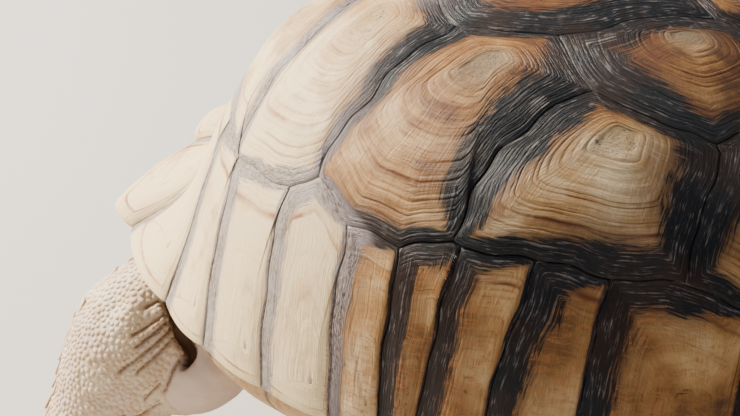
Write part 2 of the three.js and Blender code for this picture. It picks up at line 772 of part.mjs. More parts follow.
// Large overlapping scales down the front and outer side of the forearm.
function forearmScales(random) {
  const solids = [];
  const rows = [130, 112, 95, 78, 61, 44];
  rows.forEach((height, row) => {
    const count = row < 1 ? 2 : 3;
    for (let k = 0; k < count; k += 1) {
      const bearing = 18 + (k + (row % 2) * 0.5) * (70 / count) + 8 * (random() - 0.5);
      const { spot, outward } = legSkin(FORELEG, height, bearing);
      const length = mix(20, 28, random());
      const root = spot.clone().addScaledVector(outward, -2.5);
      root.z += 0.3 * length;
      const tip = spot.clone().addScaledVector(outward, mix(5, 8, random()));
      tip.z -= 0.7 * length;
      const flatways = vector(-outward.y, outward.x, 0);
      const wide = mix(9, 12, random());
      const shape = { wide, thick: 4.5, flatways, sides: 6, sink: 6, bluntness: 0.2 };
      solids.push(spike({ root, tip, ...shape }));
    }
  });
  return solids;
}

// Spurs on the back of the thigh.
function thighSpurs(random) {
  const places = [[126, 150, 16], [106, 166, 20], [112, 190, 14], [88, 178, 13]];
  return places.map(([height, bearing, length]) => {
    const { spot, outward } = legSkin(HINDLEG, height, bearing);
    const root = spot.clone().addScaledVector(outward, -3);
    const tip = spot.clone().addScaledVector(outward, length * mix(0.9, 1.1, random()));
    tip.z -= 0.35 * length;
    const flatways = vector(-outward.y, outward.x, 0);
    const shape = { wide: 7.5, thick: 6, flatways, sides: 7, sink: 5, bluntness: 0.15 };
    return spike({ root, tip, ...shape });
  });
}

const CLAW_LENGTH = 20;

// Claws along the front of a foot, pointing forwards and down to the floor.
function claws(sections, bearings, random) {
  return bearings.map((bearing) => {
    const { spot, outward } = legSkin(sections, 13, bearing);
    const root = spot.clone().addScaledVector(outward, -5);
    root.z = 15;
    const tip = spot.clone().addScaledVector(outward, CLAW_LENGTH * mix(0.75, 0.9, random()));
    tip.z = 5;
    const flatways = vector(-outward.y, outward.x, 0);
    const shape = { wide: 9, thick: 7, flatways, sides: 7, sink: 6, bluntness: 0.5, belly: 0.5 };
    return spike({ root, tip, ...shape });
  });
}

// ---------------------------------------------------------------- neck, head and tail

// The head's own frame has its origin at the back of the jaw, and the snout points along -Y.
const HEAD_LENGTH = 86;
const HEAD_TIP_Y = -HEAD_LENGTH;
const HEAD_BASE = vector(0, -300, 140); // the head is held low in front of the shell
const HEAD_PITCH = 26; // degrees, snout down

function headSection(share, rise, wide, deep, power) {
  return section(0, HEAD_TIP_Y + HEAD_LENGTH * share, rise, wide, deep, power);
}

// From the snout's tip to the back of the jaw.
const HEAD = [
  headSection(0.0, -2, 6, 9, 2.2),
  headSection(0.05, -2, 13, 15, 2.4),
  headSection(0.16, -1, 19.5, 19, 2.5),
  headSection(0.3, 1, 24.5, 22.5, 2.4),
  headSection(0.46, 2, 28.5, 24.5, 2.3),
  headSection(0.62, 2, 31.5, 25.5, 2.2),
  headSection(0.78, 1, 32.5, 25.5, 2.2),
  headSection(0.92, 0, 30, 25, 2.1),
  headSection(1.0, 0, 27, 24, 2),
];

// The neck bends down over the front of the belly plate. Its skin lies in folds.
const NECK = [
  section(0, -309, 135.6, 25, 22.5),
  section(0, -300, 140, 26, 23.5),
  section(0, -293, 143.6, 29, 25.5),
  section(0, -284, 149.5, 27, 24.5),
  section(0, -274, 156, 31, 27),
  section(0, -262, 162, 30, 27),
  section(0, -247, 169, 35, 31),
  section(0, -230, 171, 33, 30),
  section(0, -210, 171, 40, 35),
  section(0, -160, 168, 42, 38),
];

const TAIL = [
  section(0, 196, 156, 26, 22),
  section(0, 222, 142, 24, 20),
  section(0, 244, 124, 20, 17),
  section(4, 258, 103, 14, 12.5),
  section(8, 262, 86, 8, 7.5),
  section(10, 262, 76, 2.5, 2.5),
];

const HEAD_COLUMNS = 24;
const EYE_RADIUS = 7.2;
const EYE_PLACE = { x: 22.5, y: HEAD_TIP_Y + 0.37 * HEAD_LENGTH, z: 8 };
const EAR_PLACE = { x: 30.5, y: HEAD_TIP_Y + 0.8 * HEAD_LENGTH, z: -1 };

function ball(centre, radius, across = 12, down = 8) {
  const sphere = new THREE.SphereGeometry(radius, across, down);
  sphere.translate(centre.x, centre.y, centre.z);
  return toManifold(sphere);
}

function oval(centre, half, across = 10, down = 6) {
  const sphere = new THREE.SphereGeometry(1, across, down);
  sphere.scale(half.x, half.y, half.z);
  sphere.translate(centre.x, centre.y, centre.z);
  return toManifold(sphere);
}

// The gape of the mouth: a thin wedge round the beak, with its corners turned down.
function mouthCutter() {
  const corner = HEAD_TIP_Y + 0.66 * HEAD_LENGTH;
  const line = (side) => [
    [side * 40, corner, -9], [side * 34, HEAD_TIP_Y + 0.4 * HEAD_LENGTH, -6.5],
    [side * 26, HEAD_TIP_Y + 0.15 * HEAD_LENGTH, -7], [side * 12, HEAD_TIP_Y - 8, -9],
  ];
  const outer = [...line(1), ...line(-1).reverse()];
  const solid = new SolidBuilder();
  const raise = (lift, share) => outer.map(([x, y, z]) => {
    const inwardY = mix(corner + 6, y, share);
    return solid.vertex(vector(x * share, inwardY, z + lift));
  });
  const top = raise(1.1, 1);
  const bottom = raise(-1.1, 1);
  const innerTop = raise(0.25, 0.62);
  const innerBottom = raise(-0.25, 0.62);
  solid.strip(top, bottom, true);
  solid.strip(innerTop, top, true);
  solid.strip(bottom, innerBottom, true);
  solid.strip(innerBottom, innerTop, true);
  return toManifold(solid.geometry());
}

// Brow scales, jaw and crown of the head.
function headShape() {
  const core = toManifold(loft(HEAD, HEAD_COLUMNS, vector(1, 0, 0)));
  const added = [];
  const removed = [mouthCutter()];
  [1, -1].forEach((side) => {
    const eye = vector(side * EYE_PLACE.x, EYE_PLACE.y, EYE_PLACE.z);
    added.push(oval(eye.clone().add(vector(-side * 1, 1, 0)), vector(9, 12, 9.6)));
    added.push(oval(eye.clone().add(vector(-side * 1, 2, 7)), vector(9, 13, 4.5)));
    removed.push(ball(eye.clone().add(vector(side * 1.2, 0, 0)), EYE_RADIUS + GAP));
    const slit = eye.clone().add(vector(side * 9.5, -0.4, -0.4));
    removed.push(oval(slit, vector(7.5, 7, 4.6)));
    const ear = vector(side * EAR_PLACE.x, EAR_PLACE.y, EAR_PLACE.z);
    removed.push(oval(ear.clone().add(vector(side * 6, 0, 0)), vector(5.5, 7.5, 8)));
    const nostril = vector(side * 4.6, HEAD_TIP_Y + 1.5, 3.5);
    removed.push(oval(nostril, vector(1.8, 4, 1.5), 8, 6));
  });
  added.push(oval(vector(0, HEAD_TIP_Y + 5, -8), vector(6.5, 6, 7)));
  return cut(join([core, ...added]), removed);
}

// ---------------------------------------------------------------- assembly

const model = new THREE.Group();
const shellGroup = new THREE.Group();
shellGroup.position.z = GROUND_CLEARANCE;
model.add(shellGroup);

function finish(colour, roughness) {
  return new THREE.MeshStandardMaterial({ color: colour, roughness, metalness: 0 });
}

function addNode(parent, name, geometry, colour, roughness = 0.8) {
  const mesh = new THREE.Mesh(geometry, finish(colour, roughness));
  mesh.name = name;
  parent.add(mesh);
  return mesh;
}

const scutes = scuteOutlines();
const loop = rimLoop(scutes);
const carapaceGeometry = carapaceSolid(scutes);
const plastronGeometry = plastronSolid(loop);
addNode(shellGroup, "carapace", carapaceGeometry, SHELL_COLOUR, 0.6);
addNode(shellGroup, "plastron", plastronGeometry, BELLY_COLOUR, 0.6);
addNode(shellGroup, "torso", torsoSolid(loop, 0), SKIN_COLOUR);

// Everything of the shell and torso that the limbs have to clear, at its standing height.
const lift = (solid, dx, dy, dz) => solid.translate([dx, dy, GROUND_CLEARANCE + dz]);
const carapace = toManifold(carapaceGeometry);
const plastron = toManifold(plastronGeometry);
const bodyClearance = [
  lift(toManifold(torsoSolid(loop, GAP)), 0, 0, 0),
  lift(carapace, 0, 0, 0), lift(carapace, 0, 0, -GAP),
  lift(plastron, 0, 0, 0), lift(plastron, 0, 0, GAP), lift(plastron, 0, 0, -GAP),
];

function addBodyPart(name, solid, cutters = []) {
  const trimmed = largestBody(cut(solid, [...bodyClearance, ...cutters]));
  addNode(model, name, fromManifold(trimmed), SKIN_COLOUR);
  return trimmed;
}

function mirrored(solid, step) {
  return solid.scale([-1, 1, 1]).translate([0, step, 0]);
}

const random = seededRandom(41);
const FORE_BEARINGS = [-34, -8, 18, 44, 70];
const HIND_BEARINGS = [-26, 4, 34, 64];
const RIGHT_FORE_STEP = 10; // the right foreleg stands a little further back
const RIGHT_HIND_STEP = -12; // and the right hind leg a little further forward

const foreleg = () =>
  join([legShape(FORELEG), ...forearmScales(random), ...claws(FORELEG, FORE_BEARINGS, random)]);
const hindleg = () =>
  join([legShape(HINDLEG), ...thighSpurs(random), ...claws(HINDLEG, HIND_BEARINGS, random)]);

addBodyPart("foreleg_left", foreleg());
addBodyPart("foreleg_right", mirrored(foreleg(), RIGHT_FORE_STEP));
addBodyPart("hindleg_left", hindleg());
addBodyPart("hindleg_right", mirrored(hindleg(), RIGHT_HIND_STEP));
addBodyPart("tail", toManifold(loft(TAIL, 16, vector(1, 0, 0))));

const posedHead = headShape().rotate([HEAD_PITCH, 0, 0]).translate(HEAD_BASE.toArray());
const head = addBodyPart("head", posedHead);
const backwards = vector(0, GAP, 0).applyAxisAngle(vector(1, 0, 0), HEAD_PITCH * DEGREE);
const headClearance = [head, head.translate(backwards.toArray())];
addBodyPart("neck", toManifold(loft(NECK, HEAD_COLUMNS, vector(1, 0, 0))), headClearance);

["left", "right"].forEach((name, i) => {
  const side = i === 0 ? 1 : -1;
  const eye = new THREE.SphereGeometry(EYE_RADIUS, 12, 8);
  eye.translate(side * (EYE_PLACE.x + 1.2), EYE_PLACE.y, EYE_PLACE.z);
  eye.rotateX(HEAD_PITCH * DEGREE);
  eye.translate(HEAD_BASE.x, HEAD_BASE.y, HEAD_BASE.z);
  addNode(model, `eye_${name}`, mergeVertices(eye, 1e-3), EYE_COLOUR, 0.1);
});

// The origin is on the floor under the middle of the whole animal.
const extent = new THREE.Box3().setFromObject(model);
const middle = extent.getCenter(new THREE.Vector3());
model.position.set(-middle.x, -middle.y, -extent.min.z);

export default model;
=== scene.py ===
# %% [markdown]
# # A sulcata tortoise, standing still
# The solid model gives the places and the sizes. This script dresses it: every horny plate
# of the shell gets its growth rings, the flesh becomes one folded skin, and scales, claws,
# beak and eyes are laid over that skin. All lengths below are millimetres in the shell's own
# frame, in which x points to the animal's left, y to its tail and z up from the belly plate.

import math

import bpy
import numpy as np
from mathutils import Matrix, Vector
from mathutils.bvhtree import BVHTree
from mathutils.kdtree import KDTree


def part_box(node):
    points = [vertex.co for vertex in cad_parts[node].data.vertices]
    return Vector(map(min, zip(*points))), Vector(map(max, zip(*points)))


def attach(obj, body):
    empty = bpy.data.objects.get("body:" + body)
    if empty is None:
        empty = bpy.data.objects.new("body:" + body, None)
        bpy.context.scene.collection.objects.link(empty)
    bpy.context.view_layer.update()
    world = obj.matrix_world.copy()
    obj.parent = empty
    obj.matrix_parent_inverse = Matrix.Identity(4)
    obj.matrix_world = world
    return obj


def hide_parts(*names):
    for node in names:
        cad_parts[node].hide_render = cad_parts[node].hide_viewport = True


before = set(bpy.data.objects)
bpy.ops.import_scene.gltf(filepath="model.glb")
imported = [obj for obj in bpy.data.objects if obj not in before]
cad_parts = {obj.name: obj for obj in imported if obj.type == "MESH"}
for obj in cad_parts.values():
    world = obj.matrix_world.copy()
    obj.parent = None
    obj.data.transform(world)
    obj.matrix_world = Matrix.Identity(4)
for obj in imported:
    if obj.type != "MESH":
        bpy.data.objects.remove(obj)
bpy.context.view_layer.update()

MM = 0.001  # millimetres to metres
GULAR_Y = -258.0  # front end of the belly plate in the shell's frame

plate_low, plate_high = (np.array(corner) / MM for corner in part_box("plastron"))
SHIFT = np.array([
    (plate_low[0] + plate_high[0]) / 2,
    plate_low[1] - GULAR_Y,
    plate_low[2],
])
GROUND_CLEARANCE = SHIFT[2]
print("shell frame sits at", SHIFT.round(2), "mm")

# %% [markdown]
# A few small helpers are used everywhere: soft steps and bells, directions and circles, and
# ways to turn arrays into a mesh that holds numbers for its material. Arrays are handed over
# whole, because a loop over a hundred thousand vertices would take minutes.

# %% Helpers
NO_TRIANGLES = np.zeros((0, 3), int)


def smooth(start, end, value):
    """Soft step: 0 below start, 1 above end, and 3t^2 - 2t^3 between them."""
    share = np.clip((value - start) / (end - start), 0, 1)
    return share * share * (3 - 2 * share)


def bell(value, centre, width):
    """e to the power of minus the squared distance from the centre, in widths."""
    return np.exp(-(((value - centre) / width) ** 2))


def mix(low, high, share):
    """Straight line from low at share 0 to high at share 1."""
    return low + (high - low) * share


def unit(vectors, least=0.0):
    """Vectors divided by their length, or by the least length if they are shorter."""
    return vectors / np.maximum(np.linalg.norm(vectors, axis=-1, keepdims=True), least)


def full_turn(count):
    """Evenly spaced turns once round, in radians."""
    return np.arange(count) / count * 2 * np.pi


def circle(turn):
    """Places at a distance of 1 from the middle: the cosine and the sine of the turn."""
    return np.stack([np.cos(turn), np.sin(turn)], -1)


def degrees_of(place):
    """Angle of a place on either side: -90 at the neck, 0 at the flank, 90 at the tail."""
    return np.degrees(np.arctan2(place[..., 1], np.abs(place[..., 0])))


def shown(name, data):
    """An object with its data, linked to the scene."""
    thing = bpy.data.objects.new(name, data)
    bpy.context.scene.collection.objects.link(thing)
    return thing


def build_piece(name, points, quads, triangles=NO_TRIANGLES, values=None):
    """A mesh at the origin from points in the shell's frame, quads and triangles. The values
    are named numbers, one per vertex, for its material to read."""
    quads, triangles = np.asarray(quads), np.asarray(triangles)
    corners = np.concatenate([quads.ravel(), triangles.ravel()]).astype(np.int32)
    starts = np.concatenate([
        np.arange(len(quads)) * 4,
        len(quads) * 4 + np.arange(len(triangles)) * 3,
    ]).astype(np.int32)
    mesh = bpy.data.meshes.new(name)
    mesh.vertices.add(len(points))
    mesh.loops.add(len(corners))
    mesh.polygons.add(len(starts))
    mesh.loops.foreach_set("vertex_index", corners)
    mesh.polygons.foreach_set("loop_start", starts)
    move_spots(mesh, points)
    mesh.update(calc_edges=True)
    mesh.polygons.foreach_set("use_smooth", np.ones(len(starts), bool))
    piece = shown(name, mesh)
    store(piece, values or {})
    return piece


def move_spots(mesh, points):
    """Writes places in the shell's frame to a mesh's vertices."""
    placed = (np.asarray(points) + SHIFT) * MM
    mesh.vertices.foreach_set("co", placed.astype(np.float32).ravel())
    mesh.update()


def store(piece, values):
    """Puts named numbers, one per vertex, on a piece."""
    for name, numbers in values.items():
        attribute = piece.data.attributes.new(name, "FLOAT", "POINT")
        attribute.data.foreach_set("value", np.asarray(numbers, np.float32).ravel())


def dress(piece, material, slot, *nodes):
    """Gives a piece its material, sets it under the root body, and hides the solid nodes that it
    stands for.
    """
    piece.data.materials.clear()
    piece.data.materials.append(material)
    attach(piece, "root")
    if nodes:
        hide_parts(*nodes)
    triangles = sum(len(polygon.vertices) - 2 for polygon in piece.data.polygons)
    print(f"{piece.name}: {triangles} triangles")


# %% [markdown]
# The camera looks at the left flank from behind and a little above, as for a close portrait
# of the shell. A long lens keeps the plates from bulging towards the viewer.

# %% Camera
CAMERA_PLACE = np.array([1429.2, 1149.2, 899.3])
CAMERA_YAW = -2.4049
CAMERA_PITCH = 0.4161
CAMERA_ROLL = 0.0528
FOCAL_PIXELS = 2859.9
IMAGE_WIDTH = 740
SENSOR_WIDTH = 36.0
CLIP_RANGE = (0.05, 50)  # metres


def camera_turn(yaw, pitch, roll):
    """Rotation of a camera from its heading, its dip below the horizon and its roll."""
    forward = Vector((
        math.cos(yaw) * math.cos(pitch),
        math.sin(yaw) * math.cos(pitch),
        -math.sin(pitch),
    ))
    level_right = forward.cross(Vector((0, 0, 1))).normalized()
    level_up = level_right.cross(forward)
    right = level_right * math.cos(roll) + level_up * math.sin(roll)
    up = right.cross(forward)
    return Matrix((right, up, -forward)).transposed()


camera = shown("portrait_camera", bpy.data.cameras.new("portrait_camera"))
bpy.context.scene.camera = camera
camera.data.sensor_width = SENSOR_WIDTH
camera.data.lens = FOCAL_PIXELS * SENSOR_WIDTH / IMAGE_WIDTH
camera.data.clip_start, camera.data.clip_end = CLIP_RANGE
turn = camera_turn(CAMERA_YAW, CAMERA_PITCH, CAMERA_ROLL).to_4x4()
camera.matrix_world = Matrix.Translation((CAMERA_PLACE + SHIFT) * MM) @ turn
print("camera at", [round(x, 3) for x in camera.location], "lens", round(camera.data.lens, 1))

# %% [markdown]
# The shell is a dome. A place on it is a pair of numbers on a flat disc: across to the left
# and along to the tail, with 0, 0 at the crown and a distance of 1 at the rim. Working on a
# disc makes the network of seams easy to draw, and one function lifts it all to the dome.

# %% Dome
SHELL_LENGTH = 600.0
SHELL_WIDTH = 472.0
DOME_HEIGHT = 264.0
RIM_HEIGHT = 29.0
RIM_RISE_REAR = 12.0
RIM_RISE_FRONT = 10.0
FRONT_LIP_LIFT = 54.0
FRONT_FLARE = 0.31
REAR_FLARE = 0.12
NECK_NOTCH = 0.12
CORNER_PUSH = 0.074
PLAN_POWER = 1.96
ARCH_POWER = 2.44
DOME_POWER = 2.4
REAR_BROADENING = 0.02
LIP_POWER = 6
LIP_ARC = (0.86, 1)  # how far forward the front lip starts to curl up, and where it is full
LIP_LEVELS = (0.87, 1.02)
FLARE_START = 0.6
CORNER_ARC = (-57.4, 12.7)  # middle and width in degrees of the corner beside the neck
NECK_ARC = (-90, 32)


def dome(place):
    """Superellipse dome over a superellipse plan. The reach from the axis is the sine of a
    quarter turn times the level, to a power, and the rise is its cosine, to a power. The
    front rim flares out, is drawn in over the neck, and curls up."""
    across, along = place[..., 0], place[..., 1]
    level = np.minimum(1, np.hypot(across, along))
    angle = np.arctan2(along, np.abs(across))
    sine = np.sin(angle)
    front, rear = np.maximum(0, -sine) ** 2, np.maximum(0, sine) ** 2
    plan_y = np.sign(sine) * np.abs(sine) ** (2 / PLAN_POWER)
    plan_x = np.maximum(0, np.cos(angle)) ** (2 / PLAN_POWER) * (1 + REAR_BROADENING * plan_y)
    turn = np.pi / 2 * level
    outer = np.clip((level - FLARE_START) / (1 - FLARE_START), 0, 1)
    flared = 1 + FRONT_FLARE * front * outer**LIP_POWER + REAR_FLARE * rear * outer**2
    degrees = np.degrees(angle)
    corner = CORNER_PUSH * bell(degrees, *CORNER_ARC) - NECK_NOTCH * bell(degrees, *NECK_ARC)
    shaped = flared * (1 + corner * outer**LIP_POWER)
    reach = np.sin(turn) ** (2 / ARCH_POWER) * shaped
    reach = reach / (1 + FRONT_FLARE * front + REAR_FLARE * rear)
    rim = RIM_HEIGHT + RIM_RISE_FRONT * front + RIM_RISE_REAR * rear
    rise = np.maximum(0, np.cos(turn)) ** (2 / DOME_POWER)
    lip = FRONT_LIP_LIFT * smooth(*LIP_ARC, -sine) * smooth(*LIP_LEVELS, level)
    side = np.where(across < 0, -1, 1)
    x = SHELL_WIDTH / 2 * plan_x * reach * side
    y = SHELL_LENGTH / 2 * plan_y * reach
    return np.stack([x, y, rim + (DOME_HEIGHT - rim) * rise + lip], -1)


def dome_normal(place, step=0.004):
    """Outward direction: the cross product of small steps to the left and to the tail."""
    level = np.hypot(place[..., 0], place[..., 1])
    pull = np.minimum(1, (1 - 2 * step) / np.maximum(level, step))
    inner = place * pull[..., None]
    sideways = np.array([step, 0])
    lengthways = np.array([0, step])
    normal = np.cross(
        dome(inner + sideways) - dome(inner - sideways),
        dome(inner + lengthways) - dome(inner - lengthways),
    )
    return unit(normal)


def raised(place, lift):
    """The dome's surface moved outwards by a lift in millimetres."""
    return dome(place) + dome_normal(place) * np.asarray(lift)[..., None]


def polar(angle, level):
    """A place on the disc from its angle in degrees, 90 at the tail, and its level."""
    return level * circle(np.radians(angle))


# %% [markdown]
# Five vertebral plates run down the back, four costals lie on each side, and eleven marginals
# and a tail plate go round the rim. Each seam corner has a name and is stated once, so that
# neighbours share it. The two sides differ a little, as they do on a real animal.

# %% Seams of the shell
LEFT_SEAMS = {
    "frontTop": (0, -0.66),
    "back1Foot": polar(-66, 0.66),
    "back12": (0.135, -0.4),
    "costal12Top": (0.205, -0.19),
    "costal12Bend": (0.615, -0.27),
    "back23": (0.135, -0.105),
    "costal23Top": (0.203, 0.008),
    "back3Bend": (0.191, 0.055),
    "back34": (0.146, 0.123),
    "costal34Top": (0.226, 0.245),
    "costal34Neck": (0.285, 0.219),
    "costal34Bend": (0.525, 0.229),
    "back4Bend": (0.214, 0.32),
    "back45": (0.136, 0.449),
    "back5Neck": (0.147, 0.468),
    "back5Bend": (0.269, 0.526),
    "costal23Foot": (0.625, -0.023),
    "costal34Foot": (0.609, 0.254),
    "back5Foot": polar(58, 0.72),
}
RIGHT_CHANGES = {
    "costal23Top": (0.225, 0.04),
    "back3Bend": (0.19, 0.12),
    "back34": (0.139, 0.195),
    "costal34Top": (0.22, 0.285),
    "costal34Neck": (0.285, 0.25),
}
MARGINAL_TOPS = [
    (-72, 0.66), (-50, 0.65), (-34, 0.67), (-21.4, 0.69), (-6.8, 0.67), (6.2, 0.68),
    (15, 0.7), (24, 0.67), (35, 0.68), (46, 0.7), (69, 0.79),
]
MARGINAL_FEET = [-72.3, -53.9, -30.4, -17.2, -4, 8, 15.5, 20.5, 29, 40.5, 61]
MARGINAL_LINE = [
    "frontTop", "rimTop1", "back1Foot", "rimTop2", "rimTop3",
    "rimTop4", "rimTop5", "costal23Foot", "rimTop6", "rimTop7",
    "costal34Foot", "rimTop8", "rimTop9", "rimTop10", "back5Foot",
    "rimTop11",
]
EDGE_SWELL = [11, 20, 9, 4, 3, 3, 3, 4, 6, 8, 9]
EDGE_RISE = [4, 6, 4, 0, 0, 0, 0, 0, 0, 0, 0]
SWELL_SHIFT = 1.6
TAIL_EDGE_SWELL = 6.0


def seams_of(side):
    """All named corners of one side, 1 for the left and -1 for the right."""
    places = {**LEFT_SEAMS, **(RIGHT_CHANGES if side < 0 else {})}
    for number, (angle, level) in enumerate(MARGINAL_TOPS, 1):
        places[f"rimTop{number}"] = polar(angle, level)
    return {name: np.array([side * place[0], place[1]]) for name, place in places.items()}


def line_between(first, last):
    """The corners between costals and marginals, from one name to another."""
    return MARGINAL_LINE[MARGINAL_LINE.index(first) : MARGINAL_LINE.index(last) + 1]


# %% [markdown]
# Horn grows at a plate's outline, so every ring is a small copy of the outline drawn in
# towards the oldest spot, the areola. A polar grid does the same: its columns run from the
# areola to the outline and its rows are the rings, so a step in a row is a growth ring. The
# dark young horn beside each seam has its own width at every corner, given in millimetres.

# %% Plate descriptions
SEAM_1 = {"costal12Top": 9, "costal12Bend": 7, "rimTop4": 3}
SEAM_2 = {"costal23Top": 18, "costal23Foot": 4}
SEAM_3 = {"costal34Top": 16, "costal34Neck": 23, "costal34Bend": 18, "costal34Foot": 6}
SEAM_4 = {"back45": 15, "back5Neck": 27, "back5Bend": 27, "back5Foot": 16}
SEAM_3_FRONT = {"costal34Foot": 5, "costal34Bend": 17, "costal34Neck": 30, "costal34Top": 30}


def backwards(widths):
    """The same corners and widths in the opposite order."""
    return dict(reversed(list(widths.items())))


def foot_line(first, last, width):
    """Corners along the top of the marginals, each with the same width of dark horn."""
    return {name: width for name in line_between(first, last)}


# Corner names with dark widths, the areola, and how brown the horn is, from 0 to 1.
COSTALS = [
    (
        {**foot_line("back1Foot", "rimTop4", 13), "rimTop4": 4,
         "costal12Bend": 7, "costal12Top": 9, "back12": 9},
        (0.29, -0.33), 0.34,
    ),
    (
        {**SEAM_1, **foot_line("rimTop5", "costal23Foot", 13), **backwards(SEAM_2),
         "back23": 9},
        (0.26, -0.09), 0.3,
    ),
    (
        {**SEAM_2, **foot_line("rimTop6", "rimTop7", 11), **SEAM_3_FRONT,
         "back34": 9, "back3Bend": 11},
        (0.26, 0.1), 0.55,
    ),
    (
        {**SEAM_3, **foot_line("rimTop8", "rimTop8", 7), "rimTop9": 13,
         "rimTop10": 22, **backwards(SEAM_4),
         "back4Bend": 9},
        (0.27, 0.335), 0.45,
    ),
]
VERTEBRALS = [
    ({"frontTop": 3, "rimTop1": 4, "back1Foot": 5, "back12": 9}, (0, -0.52), 0.35),
    ({"back12": 9, "costal12Top": 9, "back23": 10}, (0, -0.26), 0.55),
    (
        {"back23": 24, "costal23Top": 26, "back3Bend": 26, "back34": 26},
        (0.01, 0.05), 0.95,
    ),
    (
        {"back34": 26, "costal34Top": 38, "back4Bend": 30, "back45": 15},
        (-0.015, 0.235), 0.75,
    ),
    (
        {"back45": 20, "back5Neck": 24, "back5Bend": 22, "back5Foot": 14,
         "rimTop11": 7},
        (0, 0.53), 0.6,
    ),
]
MARGINAL_FRONT_WIDTHS = [2, 7, 14, 16, 15, 12, 10, 14, 13, 16, 19]  # young horn in front of each
MARGINAL_TOP_WIDTHS = [4, 8, 10, 12, 13, 14, 13, 14, 15, 24, 18]
MARGINAL_RELIEF = 0.25
MARGINAL_REAR_WIDTH = 1.2
# the marginals grow browner towards the tail: partly their own colour, partly painted shade of the
# rear flank
MARGINAL_TONES = [0.06, 0.06, 0.06, 0.06, 0.1, 0.12, 0.36, 0.48, 0.55, 0.65, 0.7]
TAIL_PLATE_WIDTHS = (12, 9)
OUTLINE_STEP = 2.7  # millimetres between two columns at a plate's outline
MARGINAL_STEP = 2.85
KNOT_SPACING = 4
WAVE = 0.0045  # how far a seam wanders from its straight line, on the disc


def wavy(place):
    """Seams wander by two crossed waves that fade out at the rim."""
    across, along = place[..., 0], place[..., 1]
    fade = WAVE * (1 - np.minimum(1, np.hypot(across, along)) ** 8)
    shift = np.stack([
        np.sin(31 * along + 9 * across) + 0.6 * np.sin(67 * along - 23 * across),
        np.sin(29 * across - 13 * along + 1) + 0.6 * np.sin(61 * across + 17 * along),
    ], -1)
    return place + shift * fade[..., None]


def run_along(start, end, first_width, last_width, step, rim=False):
    """Samples from one corner up to, not including, the next: a straight seam on the disc, or
    the arc of the free edge. Returns places, widths of dark horn, whether it is the rim, and
    which samples are enough to measure distances from."""
    if rim:
        from_angle, to_angle = np.arctan2(start[1], start[0]), np.arctan2(end[1], end[0])
        to_angle += 2 * np.pi * np.round((from_angle - to_angle) / (2 * np.pi))

        def spot(share):
            return circle(mix(from_angle, to_angle, share))
    else:

        def spot(share):
            return wavy(start + (end - start) * share[:, None])

    probe = dome(spot(np.linspace(0, 1, 9)))
    count = max(2, int(np.ceil(np.linalg.norm(np.diff(probe, axis=0), axis=1).sum() / step)))
    share = np.arange(count) / count
    knots = np.arange(count) % KNOT_SPACING == 0
    free = rim & (np.arange(count) > 0)
    return spot(share), mix(first_width, last_width, share), free, knots


def joined(runs):
    """One closed outline from runs that follow each other."""
    return [np.concatenate(parts) for parts in zip(*runs)]


def outline_through(corners, widths, step, rim_at=None):
    """A closed outline through corners, with a width of dark horn at each. The run that
    starts at corner number rim_at is the free edge."""
    count = len(corners)
    return joined([
        run_along(
            corners[i], corners[(i + 1) % count], widths[i], widths[(i + 1) % count], step,
            rim=i == rim_at,
        )
        for i in range(count)
    ])


def swelling(angle):
    """How far the free edge stands out and up at a rim angle: each marginal swells between
    its notches as the sine of half a turn, shifted towards its rear end."""
    notches = np.array([-90, *MARGINAL_FEET, 90])
    index = np.clip(np.searchsorted(notches, angle, side="right") - 1, 0, len(notches) - 2)
    share = (angle - notches[index]) / (notches[index + 1] - notches[index])
    share = np.where(index == len(notches) - 2, share / 2, np.clip(share, 0, 1) ** SWELL_SHIFT)
    bulge = np.sin(np.pi * np.clip(share, 0, 1)) ** 0.6
    swell = np.array([*EDGE_SWELL, TAIL_EDGE_SWELL])[index]
    rise = np.array([*EDGE_RISE, 0])[index]
    return swell * bulge, rise * bulge


def outwards(spots):
    """Level direction from the shell's axis to each spot."""
    return unit(spots * np.array([1, 1, 0]), 1e-9)


# %% [markdown]
# A plate is a closed tube of rows between two poles: the areola above and a hidden point
# below. Its rows step outwards ring by ring. Each ring is a low ridge that ends in a fine
# groove, and the whole plate falls from its areola to the seam. The rings wander a little.

# %% Growing a plate
AREOLA_SHARE = 0.15
INNER_ROWS = [0.03, 0.07, 0.11]  # plain rows on the areola
BOLD_RINGS = {"back": 0.74, "rim": 0.82, "belly": 0.6}  # where each plate has its boldest ring
ROUNDING = 70  # rounds of averaging that round the inner rings' corners
ROUNDING_POWER = {"back": 2.5, "rim": 0.5, "belly": 2.5}  # how far out that rounding reaches
RING_STEPS = np.array([0, 0.12, 0.38, 0.68, 0.9])
RING_RELIEF = (1.15, 0.45)  # height of the ridges on brown and on pale horn
GROOVE_STRENGTHS = [0.06, 0.2, 0.5, 0.95]
GROOVE_CHANCES = [0.2, 0.3, 0.25, 0.25]
WANDER = 0.012  # how far the rings wander, as a share of the way to the seam
FREE_EDGE_LIFT = 2.0
PLATE_DEPTH = 4.5
SKIRT_SHARES = np.array([0.994, 0.97, 0.6, 0.2])
SKIRT_LIFTS = np.array([-0.55, -1, -1, -1]) * PLATE_DEPTH
SWELL_POWER = 12  # how fast the free edge's swelling dies away inwards
FAR = 999.0  # further than any seam
PROFILES = {
    "back": ([0, 0.25, 0.62, 0.9, 0.985, 1], [7.5, 7.9, 6.2, 3.9, 3.1, 2.0]),
    "rim": ([0, 0.35, 0.85, 0.98, 1], [4, 4, 3.0, 2.4, 1.5]),
    "belly": ([0, 0.5, 0.96, 1], [1.2, 1.4, 0.9, -1.0]),
}


